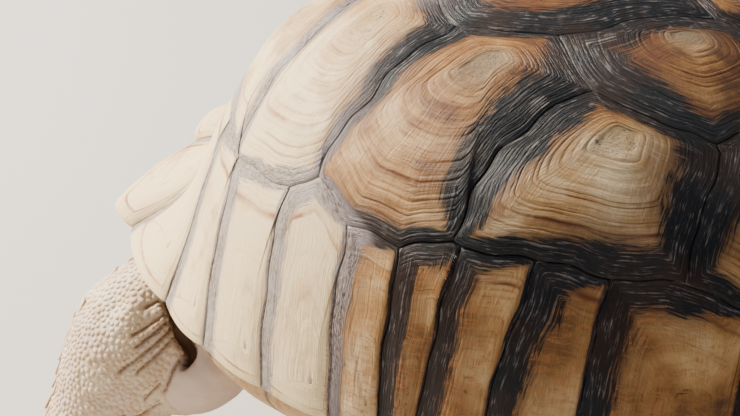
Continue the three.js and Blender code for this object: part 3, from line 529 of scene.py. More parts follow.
def tube(rows, first_pole, last_pole):
    """Closed surface from rows of points that run anticlockwise seen from the first pole's
    side: quads between the rows and a fan of triangles at each pole."""
    count, width = rows.shape[:2]
    index = 1 + np.arange(count * width).reshape(count, width)
    after = np.roll(index, -1, axis=1)
    quads = np.stack([index[:-1], index[1:], after[1:], after[:-1]], -1).reshape(-1, 4)
    first = np.stack([np.zeros(width, int), index[0], after[0]], -1)
    last = np.stack([np.full(width, count * width + 1), after[-1], index[-1]], -1)
    points = np.concatenate([first_pole[None], rows.reshape(-1, 3), last_pole[None]])
    return points, quads, np.concatenate([first, last])


def pooled(parts):
    """Several (points, quads, triangles, values) as one, with the corner numbers moved on."""
    offsets = np.cumsum([0] + [len(part[0]) for part in parts[:-1]])
    points = np.concatenate([part[0] for part in parts])
    quads, triangles = (
        np.concatenate([part[k] + start for part, start in zip(parts, offsets)]) for k in (1, 2)
    )
    values = {name: np.concatenate([part[3][name] for part in parts]) for name in parts[0][3]}
    return points, quads, triangles, values


def ring_rows(count, bold, relief, random):
    """Shares of the growth rings' rows, with each row's ridge, groove and shade. Rings get
    narrower towards the seam, each has its own strength, and one is bold."""
    widths = random.uniform(0.35, 1.8, count) * np.linspace(1.35, 0.6, count)
    edges = AREOLA_SHARE + (1 - AREOLA_SHARE) * np.cumsum([0, *widths]) / widths.sum()
    shares = (edges[:-1, None] + np.diff(edges)[:, None] * RING_STEPS).ravel()
    heights = random.uniform(0.04, 0.34, count)[:, None] * relief
    strength = random.choice(GROOVE_STRENGTHS, count, p=GROOVE_CHANCES)[:, None]
    strength = strength * min(1, relief + 0.1)
    strength[0] = 0.1
    notch = (0.08 + 0.3 * strength) * (RING_STEPS == 0)
    ridge = heights * (4 * RING_STEPS * (1 - RING_STEPS)) ** 0.6 - notch
    groove = strength * np.array([1, 0.3, 0, 0, 0.35])
    boldest = np.argmin(np.abs(edges[:-1] - bold))
    groove[boldest] = [1, 0.95, 0.4, 0.1, 0.35]
    groove[boldest - 1, -1] = 0.75
    band = np.repeat(random.uniform(-1, 1, count)[:, None], len(RING_STEPS), 1)
    calm = np.zeros(len(INNER_ROWS))
    return np.concatenate([INNER_ROWS, shares, [1.0]]), *(
        np.concatenate([calm, rows.ravel(), [last]])
        for rows, last in ((ridge, 0.0), (groove, 0.3), (band, 0.0))
    )


def seam_reach(points, outline, width, rim, knots):
    """Distance of each point from the nearest stretch of seam, and its smallest ratio to the
    width of dark horn there. The free edge isn't a seam."""
    start = np.flatnonzero(knots)
    edge, seam = np.full((2, len(points)), FAR)
    for i, j in zip(start, np.roll(start, -1)):
        if rim[(i + 1) % len(rim)] and rim[j - 1]:
            continue
        distance, share = stretch_distance(points, outline[i], outline[j])
        edge = np.minimum(edge, distance / mix(width[i], width[j], share))
        seam = np.minimum(seam, distance)
    return edge, seam


def stretch_distance(points, start, end):
    """Distance of each point from a straight stretch, and how far along it the nearest spot
    lies, from 0 to 1."""
    along = end - start
    share = np.clip((points - start) @ along / max(along @ along, 1e-6), 0, 1)
    return np.linalg.norm(points - start - share[:, None] * along, axis=-1), share


def pushed_out(spots, swell, rise, share):
    """Spots moved outwards by a swell and up by a rise, times a share."""
    push = outwards(spots) * swell[..., None] + np.array([0, 0, 1]) * rise[..., None]
    return spots + push * share


def swollen(spots, place):
    """Spots of the dome with the free edge's swelling added."""
    level = np.minimum(1, np.hypot(place[..., 0], place[..., 1]))[..., None]
    return pushed_out(spots, *swelling(degrees_of(place)), level**SWELL_POWER)


def grow_plate(surface, outline, areola, tone, profile, rings, random):
    """A plate over a surface given as surface(places, lifts). A row at share r lies at
    areola + r (outline - areola), raised by the profile at r plus the ring's ridge."""
    place, width, rim, knots = outline
    if np.cross(place, np.roll(place, -1, axis=0)).sum() < 0:
        place, width, rim, knots = (part[::-1] for part in outline)
    on_rim = profile == "rim"
    relief = mix(*RING_RELIEF, paleness(surface(areola[None], np.array([0.0])))[0])
    relief = relief * (MARGINAL_RELIEF if on_rim else 1)
    shares, ridge, groove, band = ring_rows(rings, BOLD_RINGS[profile], relief, random)
    count, columns = len(shares), len(place)
    around = full_turn(columns)
    share = np.repeat(shares[:, None], columns, 1)
    waves = random.uniform(0, 2 * np.pi, (5, 2))
    wander = sum(
        np.sin((k + 2) * around + first + (2 + k) * share * 1.7 + second) / (k + 2)
        for k, (first, second) in enumerate(waves)
    )
    share = share + WANDER * wander * share * (1 - share) * 2

    curve = np.interp(share, *PROFILES[profile])
    edge_lift = np.where(rim, FREE_EDGE_LIFT, curve[-1])
    curve = mix(curve, edge_lift, np.where(rim, smooth(0.94, 1, share), 0))
    uneven = 0.7 + 0.3 * np.sin(3 * around + waves[0, 0] + 5 * share)
    lift = curve + ridge[:, None] * uneven * (1 - smooth(0.985, 1, share))
    lift = lift + 0.35 * wander * share * (1 - share) * 2
    rounded = place.copy()
    for _ in range(ROUNDING):
        beside = np.roll(rounded, 1, axis=0) + np.roll(rounded, -1, axis=0)
        rounded = (beside + 2 * rounded) / 4
    reach = mix(rounded, place, share[..., None] ** ROUNDING_POWER[profile])
    top_place = areola + share[..., None] * (reach - areola)
    skirt_place = areola + SKIRT_SHARES[:, None, None] * (place - areola)
    top = surface(top_place, lift)
    skirt = surface(skirt_place, np.repeat(SKIRT_LIFTS[:, None], columns, 1))
    if profile != "belly":
        top, skirt = swollen(top, top_place), swollen(skirt, skirt_place)
    pole, hidden = (
        surface(areola[None], np.array([height]))[0]
        for height in (PROFILES[profile][1][0], -PLATE_DEPTH)
    )
    points, quads, triangles = tube(np.concatenate([top, skirt]), pole, hidden)

    edge, seam = seam_reach(points, top[-1], width, rim, knots)
    length = np.linalg.norm(np.roll(top[-1], -1, axis=0) - top[-1], axis=-1)
    along = np.concatenate([[0], np.cumsum(length)[:-1]])[None]

    def every(rows, under=None):
        """A number for every vertex from those of the rows, and of the skirt under them."""
        rows = np.broadcast_to(rows, (count, columns))
        below = np.repeat(rows[-1:] if under is None else under[None], len(SKIRT_SHARES), 0)
        return np.concatenate([[0.0], rows.ravel(), below.ravel(), [rows[-1, 0]]])

    shaded = groove[:, None] * (0.75 + 0.25 * np.sin(5 * around + waves[1, 0]))
    pale = paleness(points)
    values = {
        "ring": every(mix(0.35, 1, share) if on_rim else share),
        "groove": every(shaded, 0.8 * rim),
        "band": every(band[:, None]),
        "edge": edge,
        "seam": seam,
        "along": every(along),
        # the tone grows towards the top of the dome: partly a deeper golden horn, partly painted
        # shade
        "tone": tone + random.uniform(-0.05, 0.05) + 0.16 * smooth(190, 262, points[:, 2]),
        "pale": pale,
        "clear": (1 - 0.75 * smooth(0.35, 0.95, pale)) * (0.25 if on_rim else 1),
        "seed": np.full(len(points), random.uniform(0, 10)),
    }
    return points, quads, triangles, values


def paleness(points):
    """How pale the horn is, partly worn, bleached horn and partly painted sunlight: fully at the
    front flank, not at all at the rear, and less near the top.
    """
    height = smooth(170, 255, points[:, 2])
    upper = smooth(150, 185, points[:, 2])
    return smooth(mix(85, 62, upper), mix(5, -75, upper), points[:, 1]) * (1 - 0.45 * height)


# %% Plates of the back, the flanks and the rim
RING_COUNTS = {"back": 17, "costal": 18, "marginal": 11, "tail": 9, "belly": 11}
TAIL_PLATE_TONE = 0.6
MARGINAL_UPPER_WIDTH = 3
MARGINAL_AREOLA = (0.8, 0.965)  # how far back along the free edge, and its level
random = np.random.default_rng(7)
sides = {side: seams_of(side) for side in (1, -1)}


def vertebral_plate(widths, areola, tone):
    """A plate of the back, from the left half of its outline and its mirror image."""
    corners = [sides[1][name] for name in widths]
    mirrored = [sides[-1][name] for name in reversed(widths)]
    ends = list(widths.values())
    shared = np.allclose(corners[0], mirrored[-1])  # the front corner lies on the middle line
    outline = outline_through(
        corners + (mirrored[:-1] if shared else mirrored),
        ends + (ends[:0:-1] if shared else ends[::-1]), OUTLINE_STEP,
    )
    rings = RING_COUNTS["back"]
    return grow_plate(raised, outline, np.array(areola), tone, "back", rings, random)


def costal_plate(side, widths, areola, tone):
    """A plate of one flank, from the corners of its outline."""
    corners = [sides[side][name] for name in widths]
    outline = outline_through(corners, list(widths.values()), OUTLINE_STEP)
    areola = np.array([side * areola[0], areola[1]])
    return grow_plate(raised, outline, areola, tone, "back", RING_COUNTS["costal"], random)


def rim_plate(corners, widths, areola, tone, rings):
    """A plate of the rim. The stretch from its first corner to its second is the free edge."""
    outline = outline_through(corners, widths, MARGINAL_STEP, rim_at=0)
    return grow_plate(raised, outline, areola, tone, "rim", rings, random)


def marginal_plate(side, number):
    """Marginal plates are numbered from 0 at the neck to 10 beside the tail plate."""
    from_angle = -90 if number == 0 else MARGINAL_FEET[number - 1]
    feet = [
        polar(angle, 1) * np.array([side, 1]) for angle in (from_angle, MARGINAL_FEET[number])
    ]
    first_top = "frontTop" if number == 0 else f"rimTop{number}"
    top = line_between(first_top, f"rimTop{number + 1}")
    corners = [*feet, *[sides[side][name] for name in reversed(top)]]
    front, upper = MARGINAL_FRONT_WIDTHS[number], MARGINAL_TOP_WIDTHS[number]
    widths = [front, MARGINAL_REAR_WIDTH, MARGINAL_UPPER_WIDTH, *[upper] * (len(top) - 1)]
    back, level = MARGINAL_AREOLA
    areola = mix(feet[0], feet[1], back) * level
    return rim_plate(corners, widths, areola, MARGINAL_TONES[number], RING_COUNTS["marginal"])


def tail_plate():
    """The plate over the tail, as wide on the left as on the right."""
    corners = [polar(MARGINAL_FEET[-1], 1), polar(180 - MARGINAL_FEET[-1], 1),
               sides[-1]["rimTop11"], sides[1]["rimTop11"]]
    low, high = TAIL_PLATE_WIDTHS
    areola = np.array([0, 0.93])
    return rim_plate(corners, [low, low, high, high], areola, TAIL_PLATE_TONE, RING_COUNTS["tail"])


plates = {
    "back_plates": [vertebral_plate(*form) for form in VERTEBRALS] + [tail_plate()],
    "flank_plates_left": [costal_plate(1, *form) for form in COSTALS],
    "flank_plates_right": [costal_plate(-1, *form) for form in COSTALS],
    "rim_plates_left": [marginal_plate(1, number) for number in range(11)],
    "rim_plates_right": [marginal_plate(-1, number) for number in range(11)],
}
plate_pieces = [build_piece(name, *pooled(parts)) for name, parts in plates.items()]
for name, parts in plates.items():
    print(name, "has", len(parts), "plates")


# %% [markdown]
# Under the plates lies the bone of the carapace. It shows as the dark bottom of the seams, as
# the underside of the rim, and as the vault over the legs. Over the bridge, where the shell
# joins the belly plate, its underside dips down to meet it.

# %% Bone of the carapace
BRIDGE_FRONT = -17
BRIDGE_REAR = 24
BRIDGE_SOFTNESS = 7
UNDERSIDE_DEPTH = ([0.7, 0.8, 0.88, 0.95, 0.99, 1], [14, 13.5, 12, 9, 7, 3])
BRIDGE_SHARE = ([0.88, 0.95, 0.99, 1], [0.89, 0.945, 0.985, 0.995])
BRIDGE_RISE = ([0.88, 0.95, 0.99, 1], [8, -22, -11, -4])
CORE_COLUMNS = 720
CORE_SINK = 2.6
CORE_TOP_LEVELS = np.linspace(0.06, 0.98, 24)
CORE_UNDER_LEVELS = [0.995, 0.985, 0.97, 0.95, 0.925, 0.9, 0.88, 0.86, 0.83, 0.8, 0.75, 0.7,
                     0.6, 0.45, 0.3, 0.14]
CORE_THICKNESS = 14
HORN_OVERHANG = 1.6  # how far the horn stands out over the bone at the free edge
NOTCH_WIDTH = 0.45  # degrees
NOTCH_DEPTH = 1.3


def bridge_share(degrees):
    """1 where the shell joins the belly plate and 0 in the leg openings."""
    front = smooth(BRIDGE_FRONT - BRIDGE_SOFTNESS, BRIDGE_FRONT, degrees)
    return front * (1 - smooth(BRIDGE_REAR, BRIDGE_REAR + BRIDGE_SOFTNESS, degrees))


def underside(place, level):
    """The shell's inner face: the dome moved inwards by a depth, or over the bridge a share
    of the rim's radius at a height over the rim."""
    inner = raised(place * level, -np.interp(level, *UNDERSIDE_DEPTH))
    share, rise = (np.interp(level, *table) for table in (BRIDGE_SHARE, BRIDGE_RISE))
    bridge = dome(place) * [share, share, 1] + [0, 0, rise]
    joined_here = bridge_share(degrees_of(place))[:, None] * smooth(0.72, 0.86, level)
    return mix(inner, bridge, joined_here)


rim_place = circle(full_turn(CORE_COLUMNS))
rim_degrees = degrees_of(rim_place)
rim_swell, rim_rise = swelling(rim_degrees)
bone_swell = (rim_swell - HORN_OVERHANG).clip(0)
notch_gap = np.abs(rim_degrees[:, None] - np.array(MARGINAL_FEET)).min(1)
notch = bell(notch_gap, 0, NOTCH_WIDTH)
core_rows = []
for level in CORE_TOP_LEVELS:
    row = raised(rim_place * level, np.full(CORE_COLUMNS, -CORE_SINK))
    core_rows.append(pushed_out(row, bone_swell, rim_rise, level**SWELL_POWER))
for level in CORE_UNDER_LEVELS:
    row = pushed_out(underside(rim_place, level), bone_swell, rim_rise, smooth(0.9, 1, level))
    groove = NOTCH_DEPTH * notch * smooth(0.72, 0.9, level) * (1 - bridge_share(rim_degrees))
    core_rows.append(row + np.array([0, 0, 1]) * groove[:, None])
crown = dome(np.zeros((1, 2)))[0]
core = tube(np.array(core_rows), crown - [0, 0, CORE_SINK], crown - [0, 0, CORE_THICKNESS])
core_groove = np.concatenate([[0], np.tile(notch, len(core_rows)), [0]])
shell_bone = build_piece("shell_bone", *core, {"groove": core_groove})
print("bone has", len(core[0]), "vertices")

# %% [markdown]
# The belly plate is a flat slab under the body with six pairs of plates on its lower face.
# They are grown as those above are, over a plane that rises a little towards its edges.

# %% Belly plate
PLASTRON_FRONT = [(0, -242), (26, -258), (56, -246), (92, -220), (126, -178), (150, -130)]
PLASTRON_REAR = [(150, 150), (122, 190), (102, 226), (64, 256), (0, 224)]
PLASTRON_SEAMS = [-236, -152, -116, 74, 168]
PLASTRON_THICKNESS = 14.0
BELLY_WIDTH = 5.0  # young horn beside the seams
BELLY_STEP = 4.2
BELLY_TONE = 0.3
BELLY_FACE = 1.4  # height of the lower face without its plates
SLAB_ROWS = [(0.9, 1.6), (0.995, 1.7), (1.0, 3.5), (1.0, 11), (0.99, 13.5), (0.9, 14)]
FLIPPED = np.array([-1, 1])  # a place as seen from below
TURNED_OVER = np.array([-1, 1, -1])


def belly_height(x, y):
    """The slab rises towards its wings, its front lip and its rear fork."""
    wing = 7 * smooth(130, 215, np.abs(x))
    return wing + 5 * smooth(190, 260, -y) + 9 * smooth(180, 260, y)


def belly_upside(place, lift):
    """A spot on the slab's lower face, moved down by a lift. Everything is turned over, so
    that a belly plate can be grown facing up."""
    x, y = np.moveaxis(place * FLIPPED, -1, 0)
    return np.stack([x, y, belly_height(x, y) - lift + BELLY_FACE], -1) * TURNED_OVER


bridge_rim = circle(np.radians(np.linspace(BRIDGE_FRONT, BRIDGE_REAR, 15)))
bridge_edge = underside(bridge_rim, 0.951)[:, :2] * 0.997
half_outline = np.concatenate([PLASTRON_FRONT, bridge_edge, PLASTRON_REAR])
last = len(half_outline) - 1
seam_ends = [2, len(PLASTRON_FRONT) - 2, len(PLASTRON_FRONT) + 4, last - 4, last - 2]


def belly_run(start, end):
    """Samples from one corner of a belly plate to the next, on a line that waves a little."""
    count = max(2, int(np.linalg.norm(end - start) / BELLY_STEP))
    spots = start + (end - start) * (np.arange(count) / count)[:, None]
    wave = 1.1 * np.sin(spots[:, ::-1] / 17) * (np.abs(spots[:, :1]) < 205)
    spots = spots + wave * np.array([np.abs(spots[:, 0]) > 1, np.ones(count)]).T
    knots = np.arange(count) % KNOT_SPACING == 0
    return spots, np.full(count, BELLY_WIDTH), np.zeros(count, bool), knots


def belly_plate(side, number):
    """One of six pairs, numbered from 0 at the throat, between its cross seams."""
    first = 0 if number == 0 else seam_ends[number - 1]
    final = last if number == len(seam_ends) else seam_ends[number]
    middles = [np.array([0, y]) for y in PLASTRON_SEAMS[max(number - 1, 0) : number + 1]]
    corners = [corner * np.array([side, 1])
               for corner in [*half_outline[first : final + 1], *reversed(middles)]]
    corners = corners[::-side]
    place, *others = joined([
        belly_run(start, end) for start, end in zip(corners, corners[1:] + corners[:1])
    ])
    # the oldest spot of a belly plate lies at its outer rear corner
    outer = place[np.argmax(side * place[:, 0] + 0.5 * place[:, 1])]
    areola = mix(place.mean(0), outer, 0.45)
    outline = [part[::-1] for part in (place * FLIPPED, *others)]
    points, quads, triangles, values = grow_plate(
        belly_upside, outline, areola * FLIPPED, BELLY_TONE, "belly", RING_COUNTS["belly"], random
    )
    points = points * TURNED_OVER
    values["pale"] = 0.25 + 0.5 * paleness(points)
    return points, quads, triangles, values


belly_parts = [belly_plate(side, number) for side in (1, -1) for number in range(6)]
belly_plates = build_piece("belly_plates", *pooled(belly_parts))

full_outline = np.concatenate([half_outline, half_outline[-2:0:-1] * FLIPPED])
slab_rows = []
for shrink, height in SLAB_ROWS:
    spots = full_outline * shrink
    slab_rows.append(np.column_stack([spots, belly_height(*spots.T) + height]))
slab = tube(np.array(slab_rows)[:, ::-1], np.array([0, 0, SLAB_ROWS[0][1]]),
            np.array([0, 0, PLASTRON_THICKNESS]))
belly_bone = build_piece("belly_bone", *slab, {"groove": np.zeros(len(slab[0]))})
print(len(belly_parts), "belly plates")

# %% [markdown]
# Horn, bone, skin and scales share a few effects, so each effect is a node group that is made
# once. A node's output is wrapped as a signal, which can be added and multiplied like a
# number, so that each material below reads as a list of short sums.


# %% Node helpers
class Signal:
    """A node's output, with short ways to work on it."""

    def __init__(self, bench, socket):
        self.bench, self.socket = bench, socket

    def __add__(self, other):
        return self.bench.sum_up("ADD", self, other)

    def __sub__(self, other):
        return self.bench.sum_up("SUBTRACT", self, other)

    def __mul__(self, other):
        return self.bench.sum_up("MULTIPLY", self, other)

    def size(self):
        """The number without its sign."""
        return self.bench.sum_up("ABSOLUTE", self)

    def step(self, start, end, low=0.0, high=1.0):
        """Soft step from low at start to high at end."""
        names = {"Value": self, "From Min": start, "From Max": end, "To Min": low, "To Max": high}
        return self.bench.put("MapRange", names, 0, interpolation_type="SMOOTHSTEP")

    def between(self, low, high):
        """The colour low where this is 0, high where it is 1 and a blend between them."""
        return self.bench.put("Mix", {0: self, 6: low, 7: high}, 2, data_type="RGBA")

    def upward(self):
        """The third number of a place."""
        return self.bench.put("SeparateXYZ", {0: self}, 2)


class Bench:
    """One node tree, with short ways to place the nodes that the materials use."""

    def __init__(self, tree):
        self.tree = tree

    def feed(self, socket, value):
        """Links a signal to an input, or sets it to a constant."""
        if isinstance(value, Signal):
            self.tree.links.new(value.socket, socket)
        else:
            socket.default_value = value

    def put(self, kind, inputs, output=0, **settings):
        """A node with its settings and inputs. Returns one of its outputs as a signal."""
        node = self.tree.nodes.new(f"ShaderNode{kind}")
        for name, value in settings.items():
            setattr(node, name, value)
        for name, value in inputs.items():
            self.feed(node.inputs[name], value)
        return Signal(self, node.outputs[output])

    def sum_up(self, operation, *numbers):
        """Arithmetic on numbers and signals."""
        return self.put("Math", dict(enumerate(numbers)), operation=operation)

    def noise(self, place, scale, detail=2.0, roughness=0.5):
        """Cloudy values around a half, at a scale in clouds per metre."""
        names = {"Vector": place, "Scale": scale, "Detail": detail, "Roughness": roughness}
        return self.put("TexNoise", names)

    def streaks(self, across, along, seed, detail, roughness=0.68):
        """Noise on two stretched directions, different for each seed."""
        place = self.put("CombineXYZ", {"X": across, "Y": along, "Z": seed})
        return self.noise(place, 1.0, detail, roughness)

    def number(self, name):
        """A number stored on the piece's vertices."""
        return self.put("Attribute", {}, "Fac", attribute_name=name)

    def place(self):
        """The spot on the piece, in metres."""
        return self.put("TexCoord", {}, "Object")

    def ramp(self, value, first, middle, last):
        """Colours along a value from 0 to 1. The middle ones have their own positions."""
        made = self.put("ValToRGB", {0: value})
        stops = [(0.0, first), *middle, (1.0, last)]
        elements = made.socket.node.color_ramp.elements
        for _ in middle:
            elements.new(0.5)
        for element, (position, shade) in zip(elements, stops):
            element.position, element.color = position, shade
        return made


def colour(red, green, blue):
    """An opaque colour."""
    return (red, green, blue, 1.0)


RESULTS = {"Color": "Color", "Height": "Float", "Roughness": "Float"}


def effect(name, numbers, build):
    """A node group that takes a place and named numbers, and gives a colour, a height and a
    roughness, which build(bench, place, number, ...) returns in that order."""
    group = bpy.data.node_groups.new(name, "ShaderNodeTree")
    given = {"Place": "Vector", **{number: "Float" for number in numbers}}
    for way, sockets in (("INPUT", given), ("OUTPUT", RESULTS)):
        for label, kind in sockets.items():
            group.interface.new_socket(label, in_out=way, socket_type=f"NodeSocket{kind}")
    entry, leave = group.nodes.new("NodeGroupInput"), group.nodes.new("NodeGroupOutput")
    bench = Bench(group)
    made = build(bench, *(Signal(bench, entry.outputs[label]) for label in given))
    for label, signal in zip(RESULTS, made):
        bench.feed(leave.inputs[label], signal)
    return group


def use(bench, group):
    """Places a group, feeds it the numbers stored on the piece, and returns its outputs."""
    node = bench.put("Group", {}, node_tree=group).socket.node
    for socket in node.inputs:
        stored = socket.name != "Place"
        bench.feed(socket, bench.number(socket.name.lower()) if stored else bench.place())
    return [Signal(bench, node.outputs[label]) for label in RESULTS]


def finish_material(name, build, depth=0.0):
    """A material whose shader inputs come from build(bench). Its height is read as a bump
    of that depth in metres."""
    material = bpy.data.materials.new(name)
    material.use_nodes = True
    bench = Bench(material.node_tree)
    made = build(bench)
    if depth:
        bump = {"Height": made.pop("Height"), "Strength": 1.0, "Distance": depth}
        made["Normal"] = bench.put("Bump", bump)
    for label, value in made.items():
        bench.feed(material.node_tree.nodes["Principled BSDF"].inputs[label], value)
    return material


# %% [markdown]
# Old horn in the middle of a plate is straw to golden brown, crossed by thin reddish lines
# where growth stopped. Towards the seams it turns orange and then nearly black, with pale
# scratches along the seam. On the pale front flank, partly bleached and partly painted
# sunlight, the same bands are a speckled grey.

# %% Horn effect
CREAM = colour(0.94, 0.72, 0.41)
SAND_HORN = colour(0.70, 0.48, 0.26)
STRAW = colour(0.56, 0.33, 0.13)
GOLDEN = colour(0.33, 0.155, 0.045)
UMBER = colour(0.10, 0.042, 0.018)
RUST = colour(0.135, 0.054, 0.020)
RED_LINE = colour(0.13, 0.036, 0.014)
# PALE_LINE and BLUSH stand in for the red lines and the rust where the horn is pale, partly
# bleached and partly painted sunlight
PALE_LINE = colour(0.34, 0.135, 0.060)
YOUNG_HORN = colour(0.006, 0.007, 0.010)
BROWN_YOUNG = colour(0.022, 0.011, 0.008)
# dusty dark young horn painted as if in bright sunlight: partly dust, partly painted sunlight
DUSTY_SUNLIT_HORN = colour(0.34, 0.31, 0.335)
PURPLE_YOUNG = colour(0.075, 0.048, 0.045)
BLUSH = colour(0.60, 0.37, 0.28)
SCRATCH = colour(0.27, 0.235, 0.22)
HAIRLINE = colour(0.085, 0.065, 0.075)
TICK = colour(0.42, 0.17, 0.055)
FLECK = colour(0.74, 0.42, 0.16)
AREOLA = colour(0.36, 0.31, 0.20)
PIT = colour(0.15, 0.12, 0.08)
HORN_BUMP = 0.0006


def build_horn(bench, place, ring, groove, band, edge, seam, along, tone, pale, clear, seed):
    """Four clouds of falling size and five kinds of streak make every mark. Ring and edge
    tell how far out on the plate a spot lies, and pale how pale it is, partly bleached and
    partly painted sunlight."""
    cloud, patch = bench.noise(place, 16.0, 3.0), bench.noise(place, 46.0, 3.0)
    grain, dust = bench.noise(place, 130.0, 4.0), bench.noise(place, 480.0, 3.0)
    lines = bench.streaks(ring * 60.0 + patch * 1.3, along * 0.02, seed, 5.0)
    streak = bench.streaks(seam * 0.85 + patch * 1.2, along * 0.045, seed, 4.0)
    hatch = bench.streaks(along * 0.9, ring * 14.0, seed, 3.0, 0.6)
    rung = bench.streaks(place.upward() * 260.0 + grain * 1.5, seam * 0.05, seed, 1.0, 0.5)
    thread = bench.streaks(seam * 1.9 + patch * 2.0, along * 0.22, seed, 4.0, 0.7)

    # old horn, from cream through straw to umber, lighter where pale, partly painted sunlight
    age = tone + (cloud - 0.5) * 1.1 + band * 0.1 + (lines - 0.5) * clear * 0.85
    age = age + (patch - 0.5) * 0.8 + (hatch - 0.5) * 0.45 - pale * 0.25
    horn = bench.ramp(age, CREAM, [(0.22, SAND_HORN), (0.46, STRAW), (0.72, GOLDEN)], UMBER)

    # the warm border of the young horn
    ragged = edge + (patch - 0.5) * 0.7 + (streak - 0.5) * 1.9
    warm = ragged.step(2.6, 0.9, 0.0, 0.95) * pale.step(1.0, 0.5, 0.3, 0.9)
    warm = warm * streak.step(0.38, 0.56, 0.25, 1.0)
    horn = warm.between(horn, pale.step(0.5, 0.9).between(RUST, BLUSH))

    # thin lines where growth stopped, flecks on the pale horn, ticks across the rim
    line_colour = pale.between(RED_LINE, PALE_LINE)
    thin = lines.step(0.57, 0.66, 0.0, 0.8) * pale.step(0.95, 0.0, 0.05, 1.0)
    horn = (thin * cloud.step(0.40, 0.58, 0.2, 1.0)).between(horn, line_colour)
    fleck = patch.step(0.52, 0.64) * grain.step(0.48, 0.60) * (pale * 0.4)
    horn = fleck.between(horn, FLECK)
    ticks = (rung - 0.5).size().step(0.07, 0.02) * edge.step(6.0, 2.0) * hatch.step(0.42, 0.58)
    ticks = ticks * clear.step(0.5, 0.3) * pale.step(0.8, 0.5, 0.0, 0.9)
    horn = ticks.between(horn, TICK)
    horn = (groove * patch.step(0.34, 0.52, 0.35, 1.0)).between(horn, line_colour)

    # young horn beside the seams, with scratches and, where it is pale, a dusty grey of partly
    # painted sunlight with dark threads
    bleached_and_sunlit = pale.step(0.34, 0.58)
    dark = cloud.step(0.42, 0.62).between(YOUNG_HORN, BROWN_YOUNG)
    young = bleached_and_sunlit.between(pale.step(0.25, 0.5).between(dark, PURPLE_YOUNG), DUSTY_SUNLIT_HORN)
    scratches = streak.step(0.53, 0.62, 0.0, 0.62) * grain.step(0.42, 0.62, 0.15, 1.0)
    young = scratches.between(young, bleached_and_sunlit.between(SCRATCH, HAIRLINE))
    speck = thread.step(0.46, 0.53) * bleached_and_sunlit * patch.step(0.35, 0.62, 0.45, 1.0)
    young = speck.between(young, YOUNG_HORN)
    darkness = ragged.step(1.25, 0.85) * bleached_and_sunlit.step(0.0, 1.0, 1.0, 0.8)
    horn = darkness.between(horn, young)

    # the oldest spot is dull and pitted
    oldest = (ring + (patch - 0.5) * 0.3).step(0.34, 0.04)
    pits = oldest * (dust.step(0.54, 0.64) * grain.step(0.45, 0.6))
    horn = pits.between((oldest * 0.42).between(horn, AREOLA), PIT)
    height = lines * clear * 0.9 + streak + dust * 0.25 - pits * 0.5
    return horn, height, grain * 0.3 + 0.34 + pale * 0.12


HORN_NUMBERS = ["Ring", "Groove", "Band", "Edge", "Seam", "Along", "Tone", "Pale", "Clear", "Seed"]
horn_effect = effect("grown_horn", HORN_NUMBERS, build_horn)


def horn_surface(bench):
    """Horn reads the numbers that growing a plate stored on it."""
    made, height, rough = use(bench, horn_effect)
    return {"Base Color": made, "Roughness": rough, "Height": height, "Specular IOR Level": 0.26}


# %% [markdown]
# Bone shows in two places only: dark at the bottom of the seams, and dull straw under the rim.

# %% Bone, and dressing the shell
BONE = colour(0.055, 0.042, 0.034)
UNDER_RIM = colour(0.70, 0.50, 0.30)
BONE_BUMP = 0.0005


def bone_surface(bench):
    """Straw with golden grain, darkened by the number that marks the seams."""
    place = bench.place()
    grain, cloud = bench.noise(place, 120.0, 5.0, 0.65), bench.noise(place, 18.0, 2.0)
    straw = cloud.step(0.35, 0.7).between(UNDER_RIM, STRAW)
    straw = grain.step(0.45, 0.65, 0.0, 0.5).between(straw, GOLDEN)
    return {
        "Base Color": (bench.number("groove") * 0.85).between(straw, BONE),
        "Roughness": grain.step(0.3, 0.7, 0.6, 0.85),
        "Height": grain,
    }


shell_horn = finish_material("shell_horn", horn_surface, HORN_BUMP)
belly_horn = finish_material("belly_horn", horn_surface, HORN_BUMP)
bone = finish_material("shell_bone", bone_surface, BONE_BUMP)
for piece in plate_pieces:
    dress(piece, shell_horn, "shell")
dress(shell_bone, bone, "shell", "carapace")
dress(belly_plates, belly_horn, "belly_plate")
dress(belly_bone, bone, "belly_plate", "plastron")

# %% [markdown]
# The flesh is modelled as overlapping smooth volumes: a body inside the shell, four column
# legs, a neck and a tail. Each is a stack of ovals along a path, with its sizes stated at a
# few stations and rounded curves between them. Heights below are over the floor.

# %% Lofted volumes
FORELEG = [
    (96, -136, 182, 40, 42), (128, -164, 156, 46, 50), (153, -181, 125, 47, 48),
    (180, -197, 98, 48, 52), (193, -204, 72, 44, 47), (200, -209, 46, 40, 43),
    (204, -214, 22, 43, 46), (205, -217, 6, 44, 47), (205, -217, 0, 40, 43),
]
HINDLEG = [
    (92, 132, 190, 48, 50), (126, 168, 166, 52, 56), (154, 192, 132, 51, 54),
    (168, 204, 96, 45, 47), (173, 210, 60, 40, 42), (175, 213, 28, 41, 42),
    (176, 215, 6, 41, 42), (176, 215, 0, 38, 39),
]
NECK = [
    (0, -309, 135.6, 25, 22.5), (0, -300, 140, 26, 23.5), (0, -290, 146, 27.5, 24.5),
    (0, -278, 153, 29, 25.5), (0, -262, 162, 31, 28), (0, -247, 169, 33, 30),
    (0, -230, 171, 35, 31), (0, -210, 171, 40, 35), (0, -160, 168, 42, 38),
]
TAIL = [
    (0, 196, 156, 26, 22), (0, 222, 142, 24, 20), (0, 244, 124, 20, 17),
    (4, 258, 103, 14, 12.5), (8, 262, 86, 8, 7.5), (10, 262, 76, 2.5, 2.5),
]
ARMPIT = [
    (184, -180, 62, 12, 12), (176, -162, 76, 25, 26), (166, -148, 92, 30, 33),
    (144, -140, 110, 28, 31), (120, -126, 136, 32, 34),
]  # slack skin behind the upper arm
RIGHT_FORE_STEP = 10.0
RIGHT_HIND_STEP = -12.0
